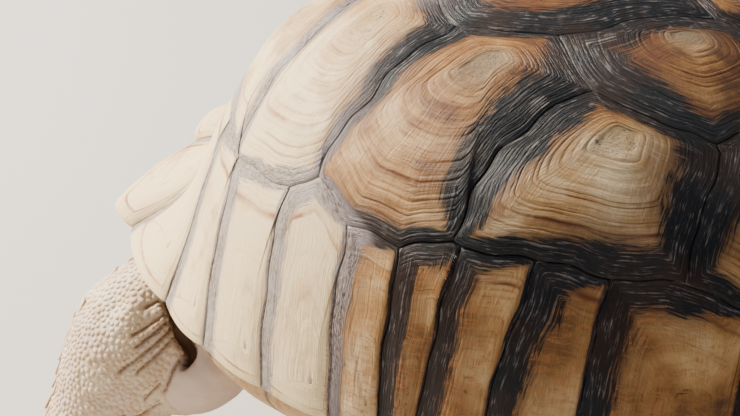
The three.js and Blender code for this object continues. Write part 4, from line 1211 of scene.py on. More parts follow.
LEGS = {  # stations, side of the body, and how far back the leg is set
    "foreleg_left": (FORELEG, 1, 0.0), "foreleg_right": (FORELEG, -1, RIGHT_FORE_STEP),
    "hindleg_left": (HINDLEG, 1, 0.0), "hindleg_right": (HINDLEG, -1, RIGHT_HIND_STEP),
}
PLASTRON_TOP = PLASTRON_THICKNESS + 0.35
SOLE_HEIGHTS = (45, 18)  # heights between which a leg's sections become level


def spline(table, shares):
    """A smooth curve through the rows of a table (Catmull-Rom), at shares from 0 to 1."""
    table = np.asarray(table, float)
    padded = np.concatenate([[2 * table[0] - table[1]], table, [2 * table[-1] - table[-2]]])
    steps = shares * (len(table) - 1)
    index = np.clip(np.floor(steps).astype(int), 0, len(table) - 2)
    t = (steps - index)[:, None]
    before, low, high, after = (padded[index + k] for k in range(4))
    curve = 2 * low + (high - before) * t
    curve += (2 * before - 5 * low + 4 * high - after) * t**2
    return 0.5 * (curve + (3 * low - before - 3 * high + after) * t**3)


def oval(turn, power, wide, deep):
    """A superellipse: the cosine and the sine of the turn, each to a power, times a size."""
    return (
        np.sign(wave) * np.abs(wave) ** power * size
        for wave, size in ((np.cos(turn)[None], wide), (np.sin(turn)[None], deep))
    )


def loft(sections, rows, columns, upright=False):
    """Ovals along a path: centre + side * wide * cos + across * deep * sin. The ends are
    closed at the path."""
    path = spline(sections, np.linspace(0, 1, rows))
    centre, wide, deep = path[:, :3], path[:, 3:4], path[:, 4:5]
    axis = np.gradient(centre, axis=0)
    if upright:
        axis = mix(axis, np.array([0, 0, -1.0]), smooth(*SOLE_HEIGHTS, centre[:, 2:3]))
    axis = unit(axis)
    side = unit(np.array([1.0, 0, 0]) - axis * axis[:, :1])
    across = np.cross(axis, side)
    u, v = oval(full_turn(columns), 1.0, wide, deep)
    spots = centre[:, None] + side[:, None] * u[..., None] + across[:, None] * v[..., None]
    poles = centre[[0, -1]] - [0, 0, GROUND_CLEARANCE]
    return tube(spots[:, ::-1] - [0, 0, GROUND_CLEARANCE], *poles)


def both_sides(part, step):
    """A part of the left side, and its mirror image on the right, moved along by a step."""
    points, quads, triangles = part
    points = points * np.array([-1, 1, 1]) + np.array([0, step, 0])
    return part, (points, quads[:, ::-1], triangles[:, ::-1])


def torso():
    """A bag that follows the shell's inner wall above the leg openings and lies on the belly
    plate, with a plain hidden top."""
    place = circle(full_turn(220))
    rim = dome(place)
    floor = rim * [0.66, 0.66, 0]
    floor[:, 2] = PLASTRON_TOP + 3
    low, high = (
        underside(place, level) - dome_normal(place * level) * 0.7 for level in (0.88, 0.7)
    )
    beside = rim * [0.83, 0.83, 1] + [0, 0, 27]
    wall = mix(mix(low, high, 0.5), beside, bridge_share(degrees_of(place))[:, None])
    cap = wall * [0.8, 0.8, 1] + [0, 0, 14]
    rows = np.array([floor, wall, cap])[:, ::-1]
    return tube(rows, np.array([0, 0, PLASTRON_TOP + 1.0]), np.array([0, 0, 60.0]))


volumes = [
    torso(),
    *both_sides(loft(ARMPIT, 24, 40), RIGHT_FORE_STEP),
    *both_sides(loft(FORELEG, 60, 64, upright=True), RIGHT_FORE_STEP),
    *both_sides(loft(HINDLEG, 60, 64, upright=True), RIGHT_HIND_STEP),
    loft(NECK, 60, 64),
    loft(TAIL, 60, 48),
]
print(len(volumes), "volumes of flesh")

# %% [markdown]
# A voxel remesh turns the overlapping volumes into one closed skin with no seams. A few
# rounds of smoothing then soften the creases where they meet, as skin does.

# %% One skin
VOXEL = 2.1
SOFTENING_ROUNDS = 9
HIDDEN_SHARE = 0.93  # how many of the faces inside the shell are taken away
RIM_GAP = 0.93  # a thigh under the rim keeps to this share of the rim's radius


def read(items, field, width=1, whole=False):
    """A field of a mesh's items as an array, with a row for each item if it is wide."""
    values = np.empty(len(items) * width, np.int32 if whole else np.float32)
    items.foreach_get(field, values)
    values = values if whole else values.astype(float)
    return values.reshape(-1, width) if width > 1 else values


def surface_of(piece):
    """A piece's vertices in millimetres in the shell's frame, and their normals."""
    spots = read(piece.data.vertices, "co", 3) / MM - SHIFT
    return spots, read(piece.data.vertex_normals, "vector", 3)


def neighbour_mean(values, edges):
    """The average of each vertex's neighbours, summed over the edges."""
    count = np.bincount(edges.ravel(), minlength=len(values))[:, None]
    first, second = edges.T
    total = np.stack([
        np.bincount(first, column[second], len(values))
        + np.bincount(second, column[first], len(values))
        for column in values.T
    ], -1)
    return total / np.maximum(count, 1)


def modified(piece, kind, **settings):
    """Bakes one modifier with its settings into a piece's mesh."""
    modifier = piece.modifiers.new(kind.lower(), kind)
    for name, value in settings.items():
        setattr(modifier, name, value)
    graph = bpy.context.evaluated_depsgraph_get()
    made = bpy.data.meshes.new_from_object(piece.evaluated_get(graph))
    piece.modifiers.clear()
    piece.data = made


skin = build_piece("skin", *pooled([(*part, {}) for part in volumes]))
modified(skin, "REMESH", mode="VOXEL", voxel_size=VOXEL * MM, use_smooth_shade=True)

# inside the shell the skin is never seen, so its faces are made few and large there
spots, _ = surface_of(skin)
level = np.hypot(spots[:, 0] / 240, spots[:, 1] / 315)
height = spots[:, 2] + GROUND_CLEARANCE
deep_inside = (height > 138) & (level < 0.86) | (height > 118) & (level < 0.62)
deep_inside |= (bridge_share(degrees_of(spots)) > 0.3) & (height > 112)
by_neck = (np.abs(spots[:, 0]) < 62) & (spots[:, 1] < -165)
hidden = np.flatnonzero(deep_inside & ~by_neck)
group = skin.vertex_groups.new(name="hidden")
group.add(hidden.tolist(), 1.0, "REPLACE")
kept_share = 1 - HIDDEN_SHARE * len(hidden) / len(spots)
modified(skin, "DECIMATE", ratio=kept_share, vertex_group="hidden")
skin.vertex_groups.clear()
print(len(spots), "vertices of skin, of which", len(hidden), "lie inside the shell")
spots, _ = surface_of(skin)
edges = read(skin.data.edges, "vertices", 2, whole=True)
for _ in range(SOFTENING_ROUNDS):
    spots = mix(spots, neighbour_mean(spots, edges), 0.5)
spots[:, 2] = np.maximum(spots[:, 2], -GROUND_CLEARANCE)

# where a thigh would pass through the shell's rim, it is drawn inside it
rim = dome(rim_place)
bearing = np.arctan2(rim[:, 1], rim[:, 0])
order = np.argsort(bearing)
turn = np.arctan2(spots[:, 1], spots[:, 0])
rim_radius, rim_height = (
    np.interp(turn, bearing[order], values[order])
    for values in (np.hypot(rim[:, 0], rim[:, 1]), rim[:, 2])
)
reach = np.hypot(spots[:, 0], spots[:, 1]) / rim_radius
near_rim = smooth(rim_height - 24, rim_height - 4, spots[:, 2]) * (spots[:, 1] > 60)
drawn_in = np.minimum(reach, mix(1.3, RIM_GAP, near_rim)) / reach
spots[:, :2] *= drawn_in[:, None]
move_spots(skin.data, spots)
print("skin has", len(spots), "vertices before its folds")

# %% [markdown]
# Skin folds where the animal bends. Creases are stated as lines on the left foreleg, each
# point being a height over the floor and a bearing, 0 to the front and 90 to the left. The
# skin is pressed in near each line. Clouds of random numbers add slacker, smaller wrinkles.

# %% Folds and creases
FORE_CREASES = [
    [(137, 106), (131, 105), (123, 103), (118, 101)],
    [(133, 113), (124, 113), (113, 112)],
    [(128, 122), (118, 123), (104, 122), (96, 120)],
    [(122, 132), (110, 134), (96, 134)],
    [(111, 154), (102, 160), (92, 166), (81, 170)],
    [(87, 160), (75, 157)],
    [(140, 92), (133, 90)],
    [(70, 175), (60, 160), (56, 140)],
    [(62, 200), (50, 215)],
]
HIND_CREASES = [
    [(120, 60), (104, 40), (96, 10)],
    [(108, 70), (92, 48), (84, 16)],
    [(128, 35), (116, 14), (112, -10)],
    [(84, 100), (72, 130), (68, 160)],
    [(70, 20), (62, -10), (60, -40)],
    [(46, 150), (42, 180), (46, 210)],
]
CREASE_DEPTH = 2.2
CREASE_WIDTH = 1.25
POCKET_LINE = [
    (147, 94), (143, 99), (138, 110), (130, 124), (121, 140), (113, 156), (104, 172), (96, 184),
]
POCKET_TAPER = (-26, 2)  # heights between which the hollow widens from a point
POCKET_DEPTH = 11.0  # the slack hollow between the foreleg and the shell's edge
POCKET_WIDTH = 6.0
ARMPIT_MIDDLE = (174, -134, -34)
ARMPIT_RADII = (38, 27)  # where the bare skin ends and where it is wholly bare
NECK_END = -309  # the front of the neck
NECK_WAVE = 9.5  # from one ring of slack skin to the next
NECK_DEPTH = 0.8
SLACK_DEPTH = 2.4  # slack skin in the leg openings
WRINKLE_DEPTHS = (0.5, 0.25)
SKIN_DEPTH = 0.5  # the scales stand on the skin by about as much


def cloud(points, size, seed):
    """Smooth random values from -1 to 1: random numbers on a lattice of that size, mixed
    softly between the eight corners of each cell."""
    scaled = points / size + 1000
    base = np.floor(scaled).astype(np.int64)
    share = scaled - base
    share = share * share * (3 - 2 * share)
    total = np.zeros(len(points))
    for corner in np.ndindex(2, 2, 2):
        cell = base + corner
        code = cell[:, 0] * 73856093 ^ cell[:, 1] * 19349663 ^ cell[:, 2] * 83492791
        code = (code ^ (seed * 2654435761)) & 0xFFFFFF
        code = (code * 1103515245 + 12345) & 0xFFFFFF
        code = (code ^ (code >> 7)) * 48271 & 0xFFFFFF
        weight = np.prod(np.where(corner, share, 1 - share), axis=1)
        total += weight * (code / 0x7FFFFF - 1)
    return total


def leg_spot(leg, height, bearing):
    """A spot on a leg at a height over the floor, towards a bearing, with its direction."""
    stations, side, step = LEGS[leg]
    x, y, z, wide, deep = np.array(stations, float).T
    x, y, wide, deep = (np.interp(-height, -z, column) for column in (x, y, wide, deep))
    turn = np.radians(bearing)
    outward = np.array([np.sin(turn), -np.cos(turn), 0.0])
    radius = 1 / np.hypot(outward[0] / wide, outward[1] / deep)
    spot = np.array([x, y, height - GROUND_CLEARANCE]) + outward * radius
    return spot * [side, 1, 1] + [0, step, 0], outward * [side, 1, 1]


def settle(tree, spot):
    """The nearest point of a surface to a spot, with its normal, in shell millimetres."""
    found, normal, _, _ = tree.find_nearest(Vector((spot + SHIFT) * MM))
    return np.array(found) / MM - SHIFT, np.array(normal)


def line_distance(points, line):
    """Distance of each point from a chain of straight stretches."""
    stretches = zip(line[:-1], line[1:])
    return np.minimum.reduce([stretch_distance(points, *ends)[0] for ends in stretches])


def leg_lines(creases):
    """Lines of points on the skin, every few millimetres, from the heights and bearings of
    creases on each leg."""
    lines = []
    for leg in LEGS:
        for crease in creases.get(leg.split("_")[0], []):
            marks = np.array(crease, float)
            shares = np.linspace(0, len(marks) - 1, 4 * len(marks) - 3)
            marks = zip(*(np.interp(shares, np.arange(len(marks)), way) for way in marks.T))
            line = [leg_spot(leg, *mark)[0] for mark in marks]
            lines.append(np.array([settle(smooth_tree, spot)[0] for spot in line]))
    return lines


def pocket_share(spots):
    """1 along the hollow between foreleg and shell, falling off over its width."""
    gaps = np.minimum(*(line_distance(spots, line) for line in pocket_lines))
    width = POCKET_WIDTH * mix(0.3, 1.0, smooth(*POCKET_TAPER, spots[:, 2]))
    return np.exp(-((gaps / width) ** 4))


def armpit_share(spots):
    """1 on the bare pink skin behind the upper arm, falling off round it."""
    return smooth(*ARMPIT_RADII, np.minimum(*(
        np.linalg.norm(spots - (np.array(ARMPIT_MIDDLE) * [side, 1, 1] + [0, step, 0]), axis=1)
        for side, step in ((1, 0), (-1, RIGHT_FORE_STEP))
    )))


def neck_waves(spots):
    """Rings of slack skin round the neck: a sine along it whose phase wanders."""
    share = (spots[:, 1] - NECK_END) / 90
    on_neck = smooth(0.1, 0.3, share) * smooth(1.15, 0.8, share)
    on_neck = on_neck * (np.abs(spots[:, 0]) < 50) * (spots[:, 2] > 0)
    wander = 9 * cloud(spots, 24, 3) + 0.15 * spots[:, 2]
    return on_neck, on_neck * np.sin((spots[:, 1] + wander) * 2 * np.pi / NECK_WAVE)


smooth_tree = BVHTree.FromObject(skin, bpy.context.evaluated_depsgraph_get())
all_creases = leg_lines({"foreleg": FORE_CREASES, "hindleg": HIND_CREASES})
pocket_lines = leg_lines({"foreleg": [POCKET_LINE]})
spots, normals = surface_of(skin)
fold = np.clip(sum(bell(line_distance(spots, line), 0, CREASE_WIDTH) for line in all_creases), 0, 1)
hollow = pocket_share(spots)
on_neck, neck_fold = neck_waves(spots)

height = spots[:, 2] + GROUND_CLEARANCE
in_opening = smooth(118, 135, height) * (1 - on_neck)
slack = cloud(spots * [1, 1, 0.35], 13, 5) * in_opening
wrinkles = (cloud(spots * [1, 1, 1.8], 9, 8), cloud(spots, 4.5, 11))
push = -CREASE_DEPTH * fold + NECK_DEPTH * neck_fold + SLACK_DEPTH * slack
for depth, wrinkle in zip(WRINKLE_DEPTHS, wrinkles):
    push = push + depth * wrinkle
push = push - SKIN_DEPTH - POCKET_DEPTH * hollow
# deep marks the skin high in the openings under the shell; with the hollow beside the foreleg it is
# darkened, partly as brown skin and partly as painted shade
deep = (height > 98) * smooth(0.16, 0.34, 1 - np.hypot(spots[:, 0] / 236, spots[:, 1] / 300))
deep = deep * smooth(112, 146, height) * (np.abs(spots[:, 0]) > 60)
# fold darkens the creases and the troughs of the neck's rings as painted shade
store(skin, {
    "fold": np.clip(fold + 0.45 * smooth(0.2, 0.9, -neck_fold), 0, 1),
    "pocket": np.maximum(deep, smooth(0.25, 0.75, hollow)),
    "beak": 0 * fold, "edge": 0 * fold, "tone": 5 * armpit_share(spots),
})
sole = smooth(3, 10, height)
move_spots(skin.data, spots + normals * (push * sole)[:, None])
print("pressed", len(all_creases), "creases into the skin")

# %% [markdown]
# The head is a finer grid of its own, because it holds the smallest forms. In its own frame
# the snout points along -y and the back of the jaw is at 0. Ovals give the skull, and then
# the surface is pushed in or out along its normals for the brow, the lids, the mouth, the
# nostrils, the ear and the mosaic of scales. It is turned and set on the neck last.

# %% Head
HEAD_LENGTH = 86.0
HEAD_BASE = np.array([0, -298, 140.0])
HEAD_PITCH = 26.0
HEAD = [  # share of the length, rise, half width, half height, power of the oval
    (0.0, -2, 2, 2.6, 2.0), (0.012, -2, 9.5, 13, 2.2), (0.045, -2, 15.5, 18.5, 2.4),
    (0.14, -1, 21, 22.5, 2.5), (0.28, 1, 25, 24.5, 2.5), (0.44, 2, 28.5, 25, 2.35),
    (0.62, 2, 31.5, 25.5, 2.2), (0.78, 1, 32.5, 25.5, 2.2), (0.92, 0, 30, 25, 2.1),
    (1.0, 0, 27, 24, 2), (1.08, 0, 20, 19, 2),
]
EYE_RADIUS = 7.2
EYE_CENTRE = np.array([21.8, -HEAD_LENGTH * 0.63, 8.0])
EYE_FRAME = unit(np.array([[0.93, -0.30, 0.20], [0.31, 0.95, 0.0], [-0.19, 0.062, 0.98]]))
SOCKET_RADII = (6.2, 8.4)  # where the socket's floor starts to rise, and its edge
OPENING = EYE_CENTRE + [4, 0, -0.5]
EAR_CENTRE = np.array([31.5, -HEAD_LENGTH * 0.2, -1.0])
NOSTRIL = np.array([4.6, -HEAD_LENGTH + 2.5, 4.0])
MOUTH_CORNER = -HEAD_LENGTH * 0.34


def pit(gap, start, end):
    """0 outside the start and 1 inside the end."""
    return smooth(start, end, gap)


FORMS = [  # millimetres outwards, middle, half sizes, how it falls off and between which gaps
    (3.2, EYE_CENTRE + [0, 3, 6], (13, 15, 8), bell, 0, 1),  # brow
    (1.6, EYE_CENTRE + [2, 14, -14], (14, 16, 9), bell, 0, 1),  # cheek
    (1.2, OPENING, (30, 10.5, 8), bell, 1, 0.35),  # edge of the lids
    (-6.5, OPENING, (30, 8.2, 5.6), pit, 1.0, 0.72),  # opening between them
    (-1.1, EAR_CENTRE, (20, 8, 8.5), bell, 1, 0.16),  # groove round the ear
    (0.7, EAR_CENTRE, (20, 8, 8.5), pit, 1, 0.4),
    (-2.2, NOSTRIL, (1.9, 5, 1.6), pit, 1.15, 0.5),
]


def head_grid(rows, columns):
    """Ovals from the snout's tip to inside the neck, closer together at the snout."""
    table = np.array(HEAD)
    table[:, 0] = HEAD_LENGTH * (table[:, 0] - 1)
    steps = np.linspace(0, 1, rows)
    path = spline(table, mix(steps**1.25, steps, 0.35))
    y, rise, wide, deep, power = (path[:, k : k + 1] for k in range(5))
    u, v = oval(full_turn(columns), 2 / power, wide, deep)
    grid = np.stack([u, np.repeat(y, columns, 1), rise + v], -1)[:, ::-1]
    first, last = (np.array([0, y[end, 0], rise[end, 0]]) for end in (0, -1))
    return tube(grid, first - [0, 1.2, 0], last)


def pose_head(points):
    """Turns head points about the left-right axis and sets them on the neck."""
    cosine, sine = circle(np.radians(HEAD_PITCH))
    x, y, z = points.T
    turned = np.stack([x, y * cosine - z * sine, y * sine + z * cosine], -1)
    return turned + HEAD_BASE - [0, 0, GROUND_CLEARANCE]


def surface_normals(points, quads, triangles):
    """Normals of a closed mesh: the sum of its faces' normals at each vertex, each being the
    cross product of a quad's diagonals or of a triangle's sides."""
    normals = np.zeros_like(points)
    for faces, ways in ((quads, ((0, 2), (1, 3))), (triangles, ((0, 1), (0, 2)))):
        across = np.cross(*(points[faces[:, end]] - points[faces[:, start]] for start, end in ways))
        for column in faces.T:
            for axis in range(3):
                normals[:, axis] += np.bincount(column, across[:, axis], len(points))
    return unit(normals, 1e-9)


def oval_gap(points, centre, half, side):
    """Distance from a centre in half sizes: 1 on the oval."""
    return np.linalg.norm((points * [side, 1, 1] - centre) / np.array(half), axis=1)


points, quads, triangles = head_grid(140, 200)
normals = surface_normals(points, quads, triangles)
x, y, z = points.T
push = sum(
    out * falling(oval_gap(points, centre, half, side), *span)
    for side in (1, -1) for out, centre, half, falling, *span in FORMS
)
mouth_height = np.interp(
    y,
    [-HEAD_LENGTH - 4, -HEAD_LENGTH * 0.93, -HEAD_LENGTH * 0.7, -HEAD_LENGTH * 0.5, MOUTH_CORNER],
    [-9.5, -8.0, -7.2, -6.6, -11.5],
)
mouth_reach = smooth(MOUTH_CORNER + 2, MOUTH_CORNER - 3, y)
mouth_gap = z - mouth_height
mouth = mouth_reach * bell(mouth_gap, 0, 0.75)
beak_reach = -HEAD_LENGTH * np.array([1.1, 0.95, 0.8, 0.6, 0.5])
beak_top = np.interp(y, beak_reach, [0.5, 0.0, -2.0, -4.2, -6.0])
beak_foot = np.interp(y, beak_reach, [-15, -14.5, -13.0, -10.8, -8.8])
beak = smooth(beak_top + 0.5, beak_top - 0.5, z) * smooth(beak_foot - 0.5, beak_foot + 0.5, z)
beak = beak * smooth(-HEAD_LENGTH * 0.5, -HEAD_LENGTH * 0.54, y)
upper_lip = mouth_reach * smooth(0.3, 1.4, mouth_gap) * smooth(6, 2, mouth_gap)
hook = bell(x, 0, 5) * bell(mouth_gap, 1.5, 3.5) * smooth(-HEAD_LENGTH * 0.9, -HEAD_LENGTH, y)
nose = bell(oval_gap(points, np.array([0, -HEAD_LENGTH, 5.5]), (13, 9, 7), 1), 0, 1)
push = push + 0.5 * beak + 0.2 * upper_lip - 2.6 * mouth + 1.3 * hook + 1.5 * nose
head_spots = points + normals * push[:, None]
for side in (1, -1):
    # the socket: near the eye's axis the skin lies behind the middle of the ball
    turned = (head_spots * [side, 1, 1] - EYE_CENTRE) @ EYE_FRAME.T
    aside = np.hypot(turned[:, 1], turned[:, 2])
    sunk = np.minimum(turned[:, 0], mix(-2.5, 9.0, smooth(*SOCKET_RADII, aside)))
    in_socket = (turned[:, 0] > -15) & (aside < SOCKET_RADII[1])
    turned[:, 0] = np.where(in_socket, sunk, turned[:, 0])
    head_spots = (turned @ EYE_FRAME + EYE_CENTRE) * [side, 1, 1]
print("head has", len(head_spots), "vertices")

# %% [markdown]
# The scales of the head fit together like paving. Seeds are strewn over the skull, wide
# apart on the crown and closer on the cheeks, and every vertex belongs to its nearest seed.
# Where the second nearest seed is almost as near, there is a groove between two scales.

# %% Mosaic of the head
CROWN_SEEDS = [
    (6.5, -74, 17), (-6.5, -74, 17), (8.5, -60, 22), (-8.5, -60, 22), (0, -46, 25.5),
    (13, -44, 24), (-13, -44, 24), (8, -32, 27), (-8, -32, 27),
]
CROWN_GAP = 7.5
SMALL_SCALES = {"cheek": 4.2, "top": 6.0, "nape": 3.2, "lids": 2.2}  # from seed to seed
SCALE_BULGE = (1.15, 0.85)  # how high a scale of the head stands, and how deep all lie


def tree_of(points):
    """A search tree of points that tells which lie near a spot."""
    tree = KDTree(len(points))
    for number, spot in enumerate(points):
        tree.insert(spot, number)
    tree.balance()
    return tree


def spaced(points, spacing, random, taken=()):
    """Numbers of points that keep at least their own spacing from one another: points are
    tried in random order, and each one kept strikes out its neighbours."""
    tree = tree_of(points)
    free = np.isfinite(spacing)
    for spot, gap in taken:
        free[[found[1] for found in tree.find_range(spot, gap)]] = False
    kept = []
    for number in random.permutation(len(points)):
        if free[number]:
            kept.append(number)
            reach = tree.find_range(points[number], spacing[number])
            free[[found[1] for found in reach]] = False
    return np.array(kept)


random = np.random.default_rng(23)
crown = head_spots[[
    np.argmin(np.linalg.norm(head_spots - seed, axis=1)) for seed in np.array(CROWN_SEEDS)
]]
near_eye = np.minimum(*(oval_gap(head_spots, OPENING, (30, 12, 9.5), side) for side in (1, -1)))
spacing = mix(SMALL_SCALES["cheek"], SMALL_SCALES["top"], smooth(8, 22, head_spots[:, 2]))
spacing = np.where(head_spots[:, 1] > -6, SMALL_SCALES["nape"], spacing)
spacing = np.where(near_eye < 1, SMALL_SCALES["lids"], spacing)
chosen = spaced(head_spots, spacing, random, [(seed, CROWN_GAP) for seed in crown])
seeds = np.concatenate([crown, head_spots[chosen]])
first_gap, second_gap = np.full((2, len(head_spots)), FAR)
cell = np.zeros(len(head_spots), int)
for number, seed in enumerate(seeds):
    gap = np.linalg.norm(head_spots - seed, axis=1)
    nearer = gap < first_gap
    second_gap = np.where(nearer, first_gap, np.minimum(second_gap, gap))
    cell = np.where(nearer, number, cell)
    first_gap = np.minimum(first_gap, gap)
groove = smooth(1.5, 0.1, second_gap - first_gap)
scaly = 1 - np.maximum(np.maximum(beak, smooth(1.3, 1.05, near_eye)), mouth)
bulge = scaly * (SCALE_BULGE[0] * (1 - groove) ** 1.3 - SCALE_BULGE[1])
head_spots = head_spots + surface_normals(head_spots, quads, triangles) * bulge[:, None]
tint = np.random.default_rng(5).uniform(-1, 1, len(seeds))[cell] * scaly
print(len(seeds), "scales on the head")

# %% [markdown]
# Neck and head are joined by a Boolean union, so the skin stays one closed surface. The
# numbers that the material needs are stored on both before, and the union keeps them.

# %% Joining the head
SKIN_TRIANGLES = 194000

# the mouth line is darkened as painted shade through the fold number
head_piece = build_piece("head_form", pose_head(head_spots), quads, triangles, {
    "fold": 0.7 * mouth, "pocket": 0 * beak, "beak": beak, "edge": groove * scaly, "tone": tint,
})
modified(skin, "BOOLEAN", operation="UNION", object=head_piece, solver="MANIFOLD")
skin.data.calc_loop_triangles()
modified(skin, "DECIMATE", ratio=min(1, SKIN_TRIANGLES / len(skin.data.loop_triangles)))
bpy.data.objects.remove(head_piece)
skin.data.polygons.foreach_set("use_smooth", np.ones(len(skin.data.polygons), bool))
print("skin has", len(skin.data.polygons), "faces with its head")

# %% [markdown]
# The scales are small closed tiles that stand on the skin. Each is a cell of a mosaic: in
# every direction it reaches half way to its neighbours, so the tiles fill the skin with thin
# grooves between them. Their roots are strewn at random and keep a distance from each other,
# which is the size of the scales there.

# %% Strewing roots
TILE_SIDES = 8
TILE_LIMIT = 0.82  # the furthest a tile reaches, as a share of the spacing
NEIGHBOURS = 12
LEAST_FACING = 0.2  # neighbours further round than this don't limit a tile
BAKE_PATCH = 0.003  # width of a scale on its unwrap
SCALE_SPACING = {
    "foreleg_left": 3.7, "foreleg_right": 4.2, "hindleg_left": 4.0, "hindleg_right": 4.4,
    "neck": 3.3, "tail": 3.6,
}


def strewn(piece, region, per_square, random):
    """Random spots on a piece's surface with their normals and the skin's numbers there.
    Faces of the region are drawn by area, and a spot in a face by two shares of its edges."""
    mesh = piece.data
    mesh.calc_loop_triangles()
    corners = read(mesh.loop_triangles, "vertices", 3, whole=True)
    spots, normals = surface_of(piece)
    corners = corners[in_region(region, spots[corners].mean(axis=1))]
    a, b, c = (spots[corners[:, k]] for k in range(3))
    area = np.linalg.norm(np.cross(b - a, c - a), axis=1) / 2
    count = int(area.sum() * per_square)
    face = random.choice(len(corners), count, p=area / area.sum())
    first, second = random.random((2, count))
    over = first + second > 1
    first, second = (np.where(over, 1 - share, share)[:, None] for share in (first, second))

    def spread(values):
        """Values at the drawn spots: a + (b - a) first + (c - a) second."""
        a, b, c = (values[corners[face, k]] for k in range(3))
        return a + (b - a) * first + (c - a) * second

    marks = {
        name: spread(read(mesh.attributes[name].data, "value")[:, None])[:, 0]
        for name in ("fold", "pocket", "tone")
    }
    return spread(spots), unit(spread(normals)), marks


def lie_frame(normals, lie):
    """Two directions in the surface: across the lie of the scales and along it."""
    along = unit(lie - normals * np.sum(lie * normals, axis=1, keepdims=True), 1e-6)
    return np.cross(along, normals), along


def cell_reach(roots, across, along, limit):
    """How far each tile reaches in each direction: to the plane half way to a neighbour, which
    is half the squared gap over the gap's share in that direction. The nearest plane counts,
    and the points of creases count as neighbours too, so no tile crosses one."""
    everything = np.concatenate([roots, walls])
    tree = tree_of(everything)
    near = np.array([[found[1] for found in tree.find_n(root, NEIGHBOURS)][1:] for root in roots])
    away = everything[near] - roots[:, None]
    u, v = (np.einsum("nkj,nj->nk", away, way) for way in (across, along))
    gap = u**2 + v**2 + 0.05
    turn = full_turn(TILE_SIDES)
    facing = u[..., None] * np.cos(turn) + v[..., None] * np.sin(turn)
    planes = gap[..., None] / 2 / np.maximum(facing, LEAST_FACING)
    reach = np.where(facing > LEAST_FACING, planes, FAR)
    return np.minimum(reach.min(axis=1), limit[:, None])


def tiles(roots, normals, lie, spacing, values, on_map):
    """Domed tiles: a sunk base ring, a shoulder ring that leans down the lie, and a crown.
    Returns a part for pooling, with the tile's own numbers and its place on the unwrap."""
    across, along = lie_frame(normals, lie)
    reach = cell_reach(roots, across, along, spacing * TILE_LIMIT)[..., None]
    count, sides = reach.shape[:2]
    size = reach.mean(axis=1)[:, None]
    turn = full_turn(sides)
    cosine, sine = circle(turn).T[:, None, :, None]
    outward = across[:, None] * cosine + along[:, None] * sine
    root, down, up = roots[:, None], along[:, None], normals[:, None]
    base = root + outward * reach * 0.99 - up * (0.25 + 0.08 * size)
    shoulder = root + outward * reach * 0.80 + down * size * 0.10
    shoulder = shoulder + up * size * (0.10 + 0.09 * sine)
    crown = root + down * size * 0.12 + up * size * 0.17
    under = root - up * (0.5 + 0.15 * size)
    points = np.concatenate([base, shoulder, crown, under], axis=1)
    stride = 2 * sides + 2
    start = np.arange(count)[:, None, None] * stride
    here, after = np.arange(sides), np.roll(np.arange(sides), -1)
    quads = np.stack([here, here + sides, after + sides, after], -1)
    top = np.stack([here + sides, np.full(sides, 2 * sides), after + sides], -1)
    bottom = np.stack([after, np.full(sides, 2 * sides + 1), here], -1)
    quads = (quads[None] + start).reshape(-1, 4)
    triangles = (np.concatenate([top, bottom])[None] + start).reshape(-1, 3)
    numbers = {name: np.repeat(value, stride) for name, value in values.items()}
    edge, ring = (
        np.concatenate([np.full(sides, base), np.full(sides, shoulder), [0.0, under]])
        for base, shoulder, under in ((1.0, 0.15, 1.0), (1.0, 0.6, 0.0))
    )
    numbers["edge"] = np.tile(edge, count)
    patch = circle(np.concatenate([turn, turn, [0, 0]])) * ring[:, None] * BAKE_PATCH / 2
    numbers["unwrap"] = (on_map[:, None] + patch[None]).reshape(-1, 2)
    return points.reshape(-1, 3), quads, triangles, numbers


def write_unwrap(piece, spots):
    """Stores each vertex's place on the unwrap as the UV map OFBake."""
    loops = read(piece.data.loops, "vertex_index", whole=True)
    layer = piece.data.uv_layers.new(name="OFBake")
    layer.data.foreach_set("uv", spots[loops].astype(np.float32).ravel())


# %% [markdown]
# A large scale is a flat tongue: its root is sunk in the skin and its free tip stands off.
# Down the front of each forearm they lie in staggered rows, over one another like shingles.

# %% Tongues
TONGUE_ROWS = np.array([0.0, 0.35, 0.7, 0.92, 1.0])
TONGUE_COLUMNS = np.linspace(-1, 1, 5)
TONGUE_SIZE = (19, 15.5, 2.3, 1.2)  # length, width, lift of the tip, thickness
FOREARM_ROWS = [148, 137, 126, 114, 102, 90, 78, 66, 55, 44, 33]
FOREARM_COLUMNS = 6
SMALLEST_TONGUE = 0.5


def grid_faces(number):
    """Quads between the rows and the columns of a grid of vertex numbers."""
    corners = [number[:-1, :-1], number[:-1, 1:], number[1:, 1:], number[1:, :-1]]
    return np.stack(corners, -1)


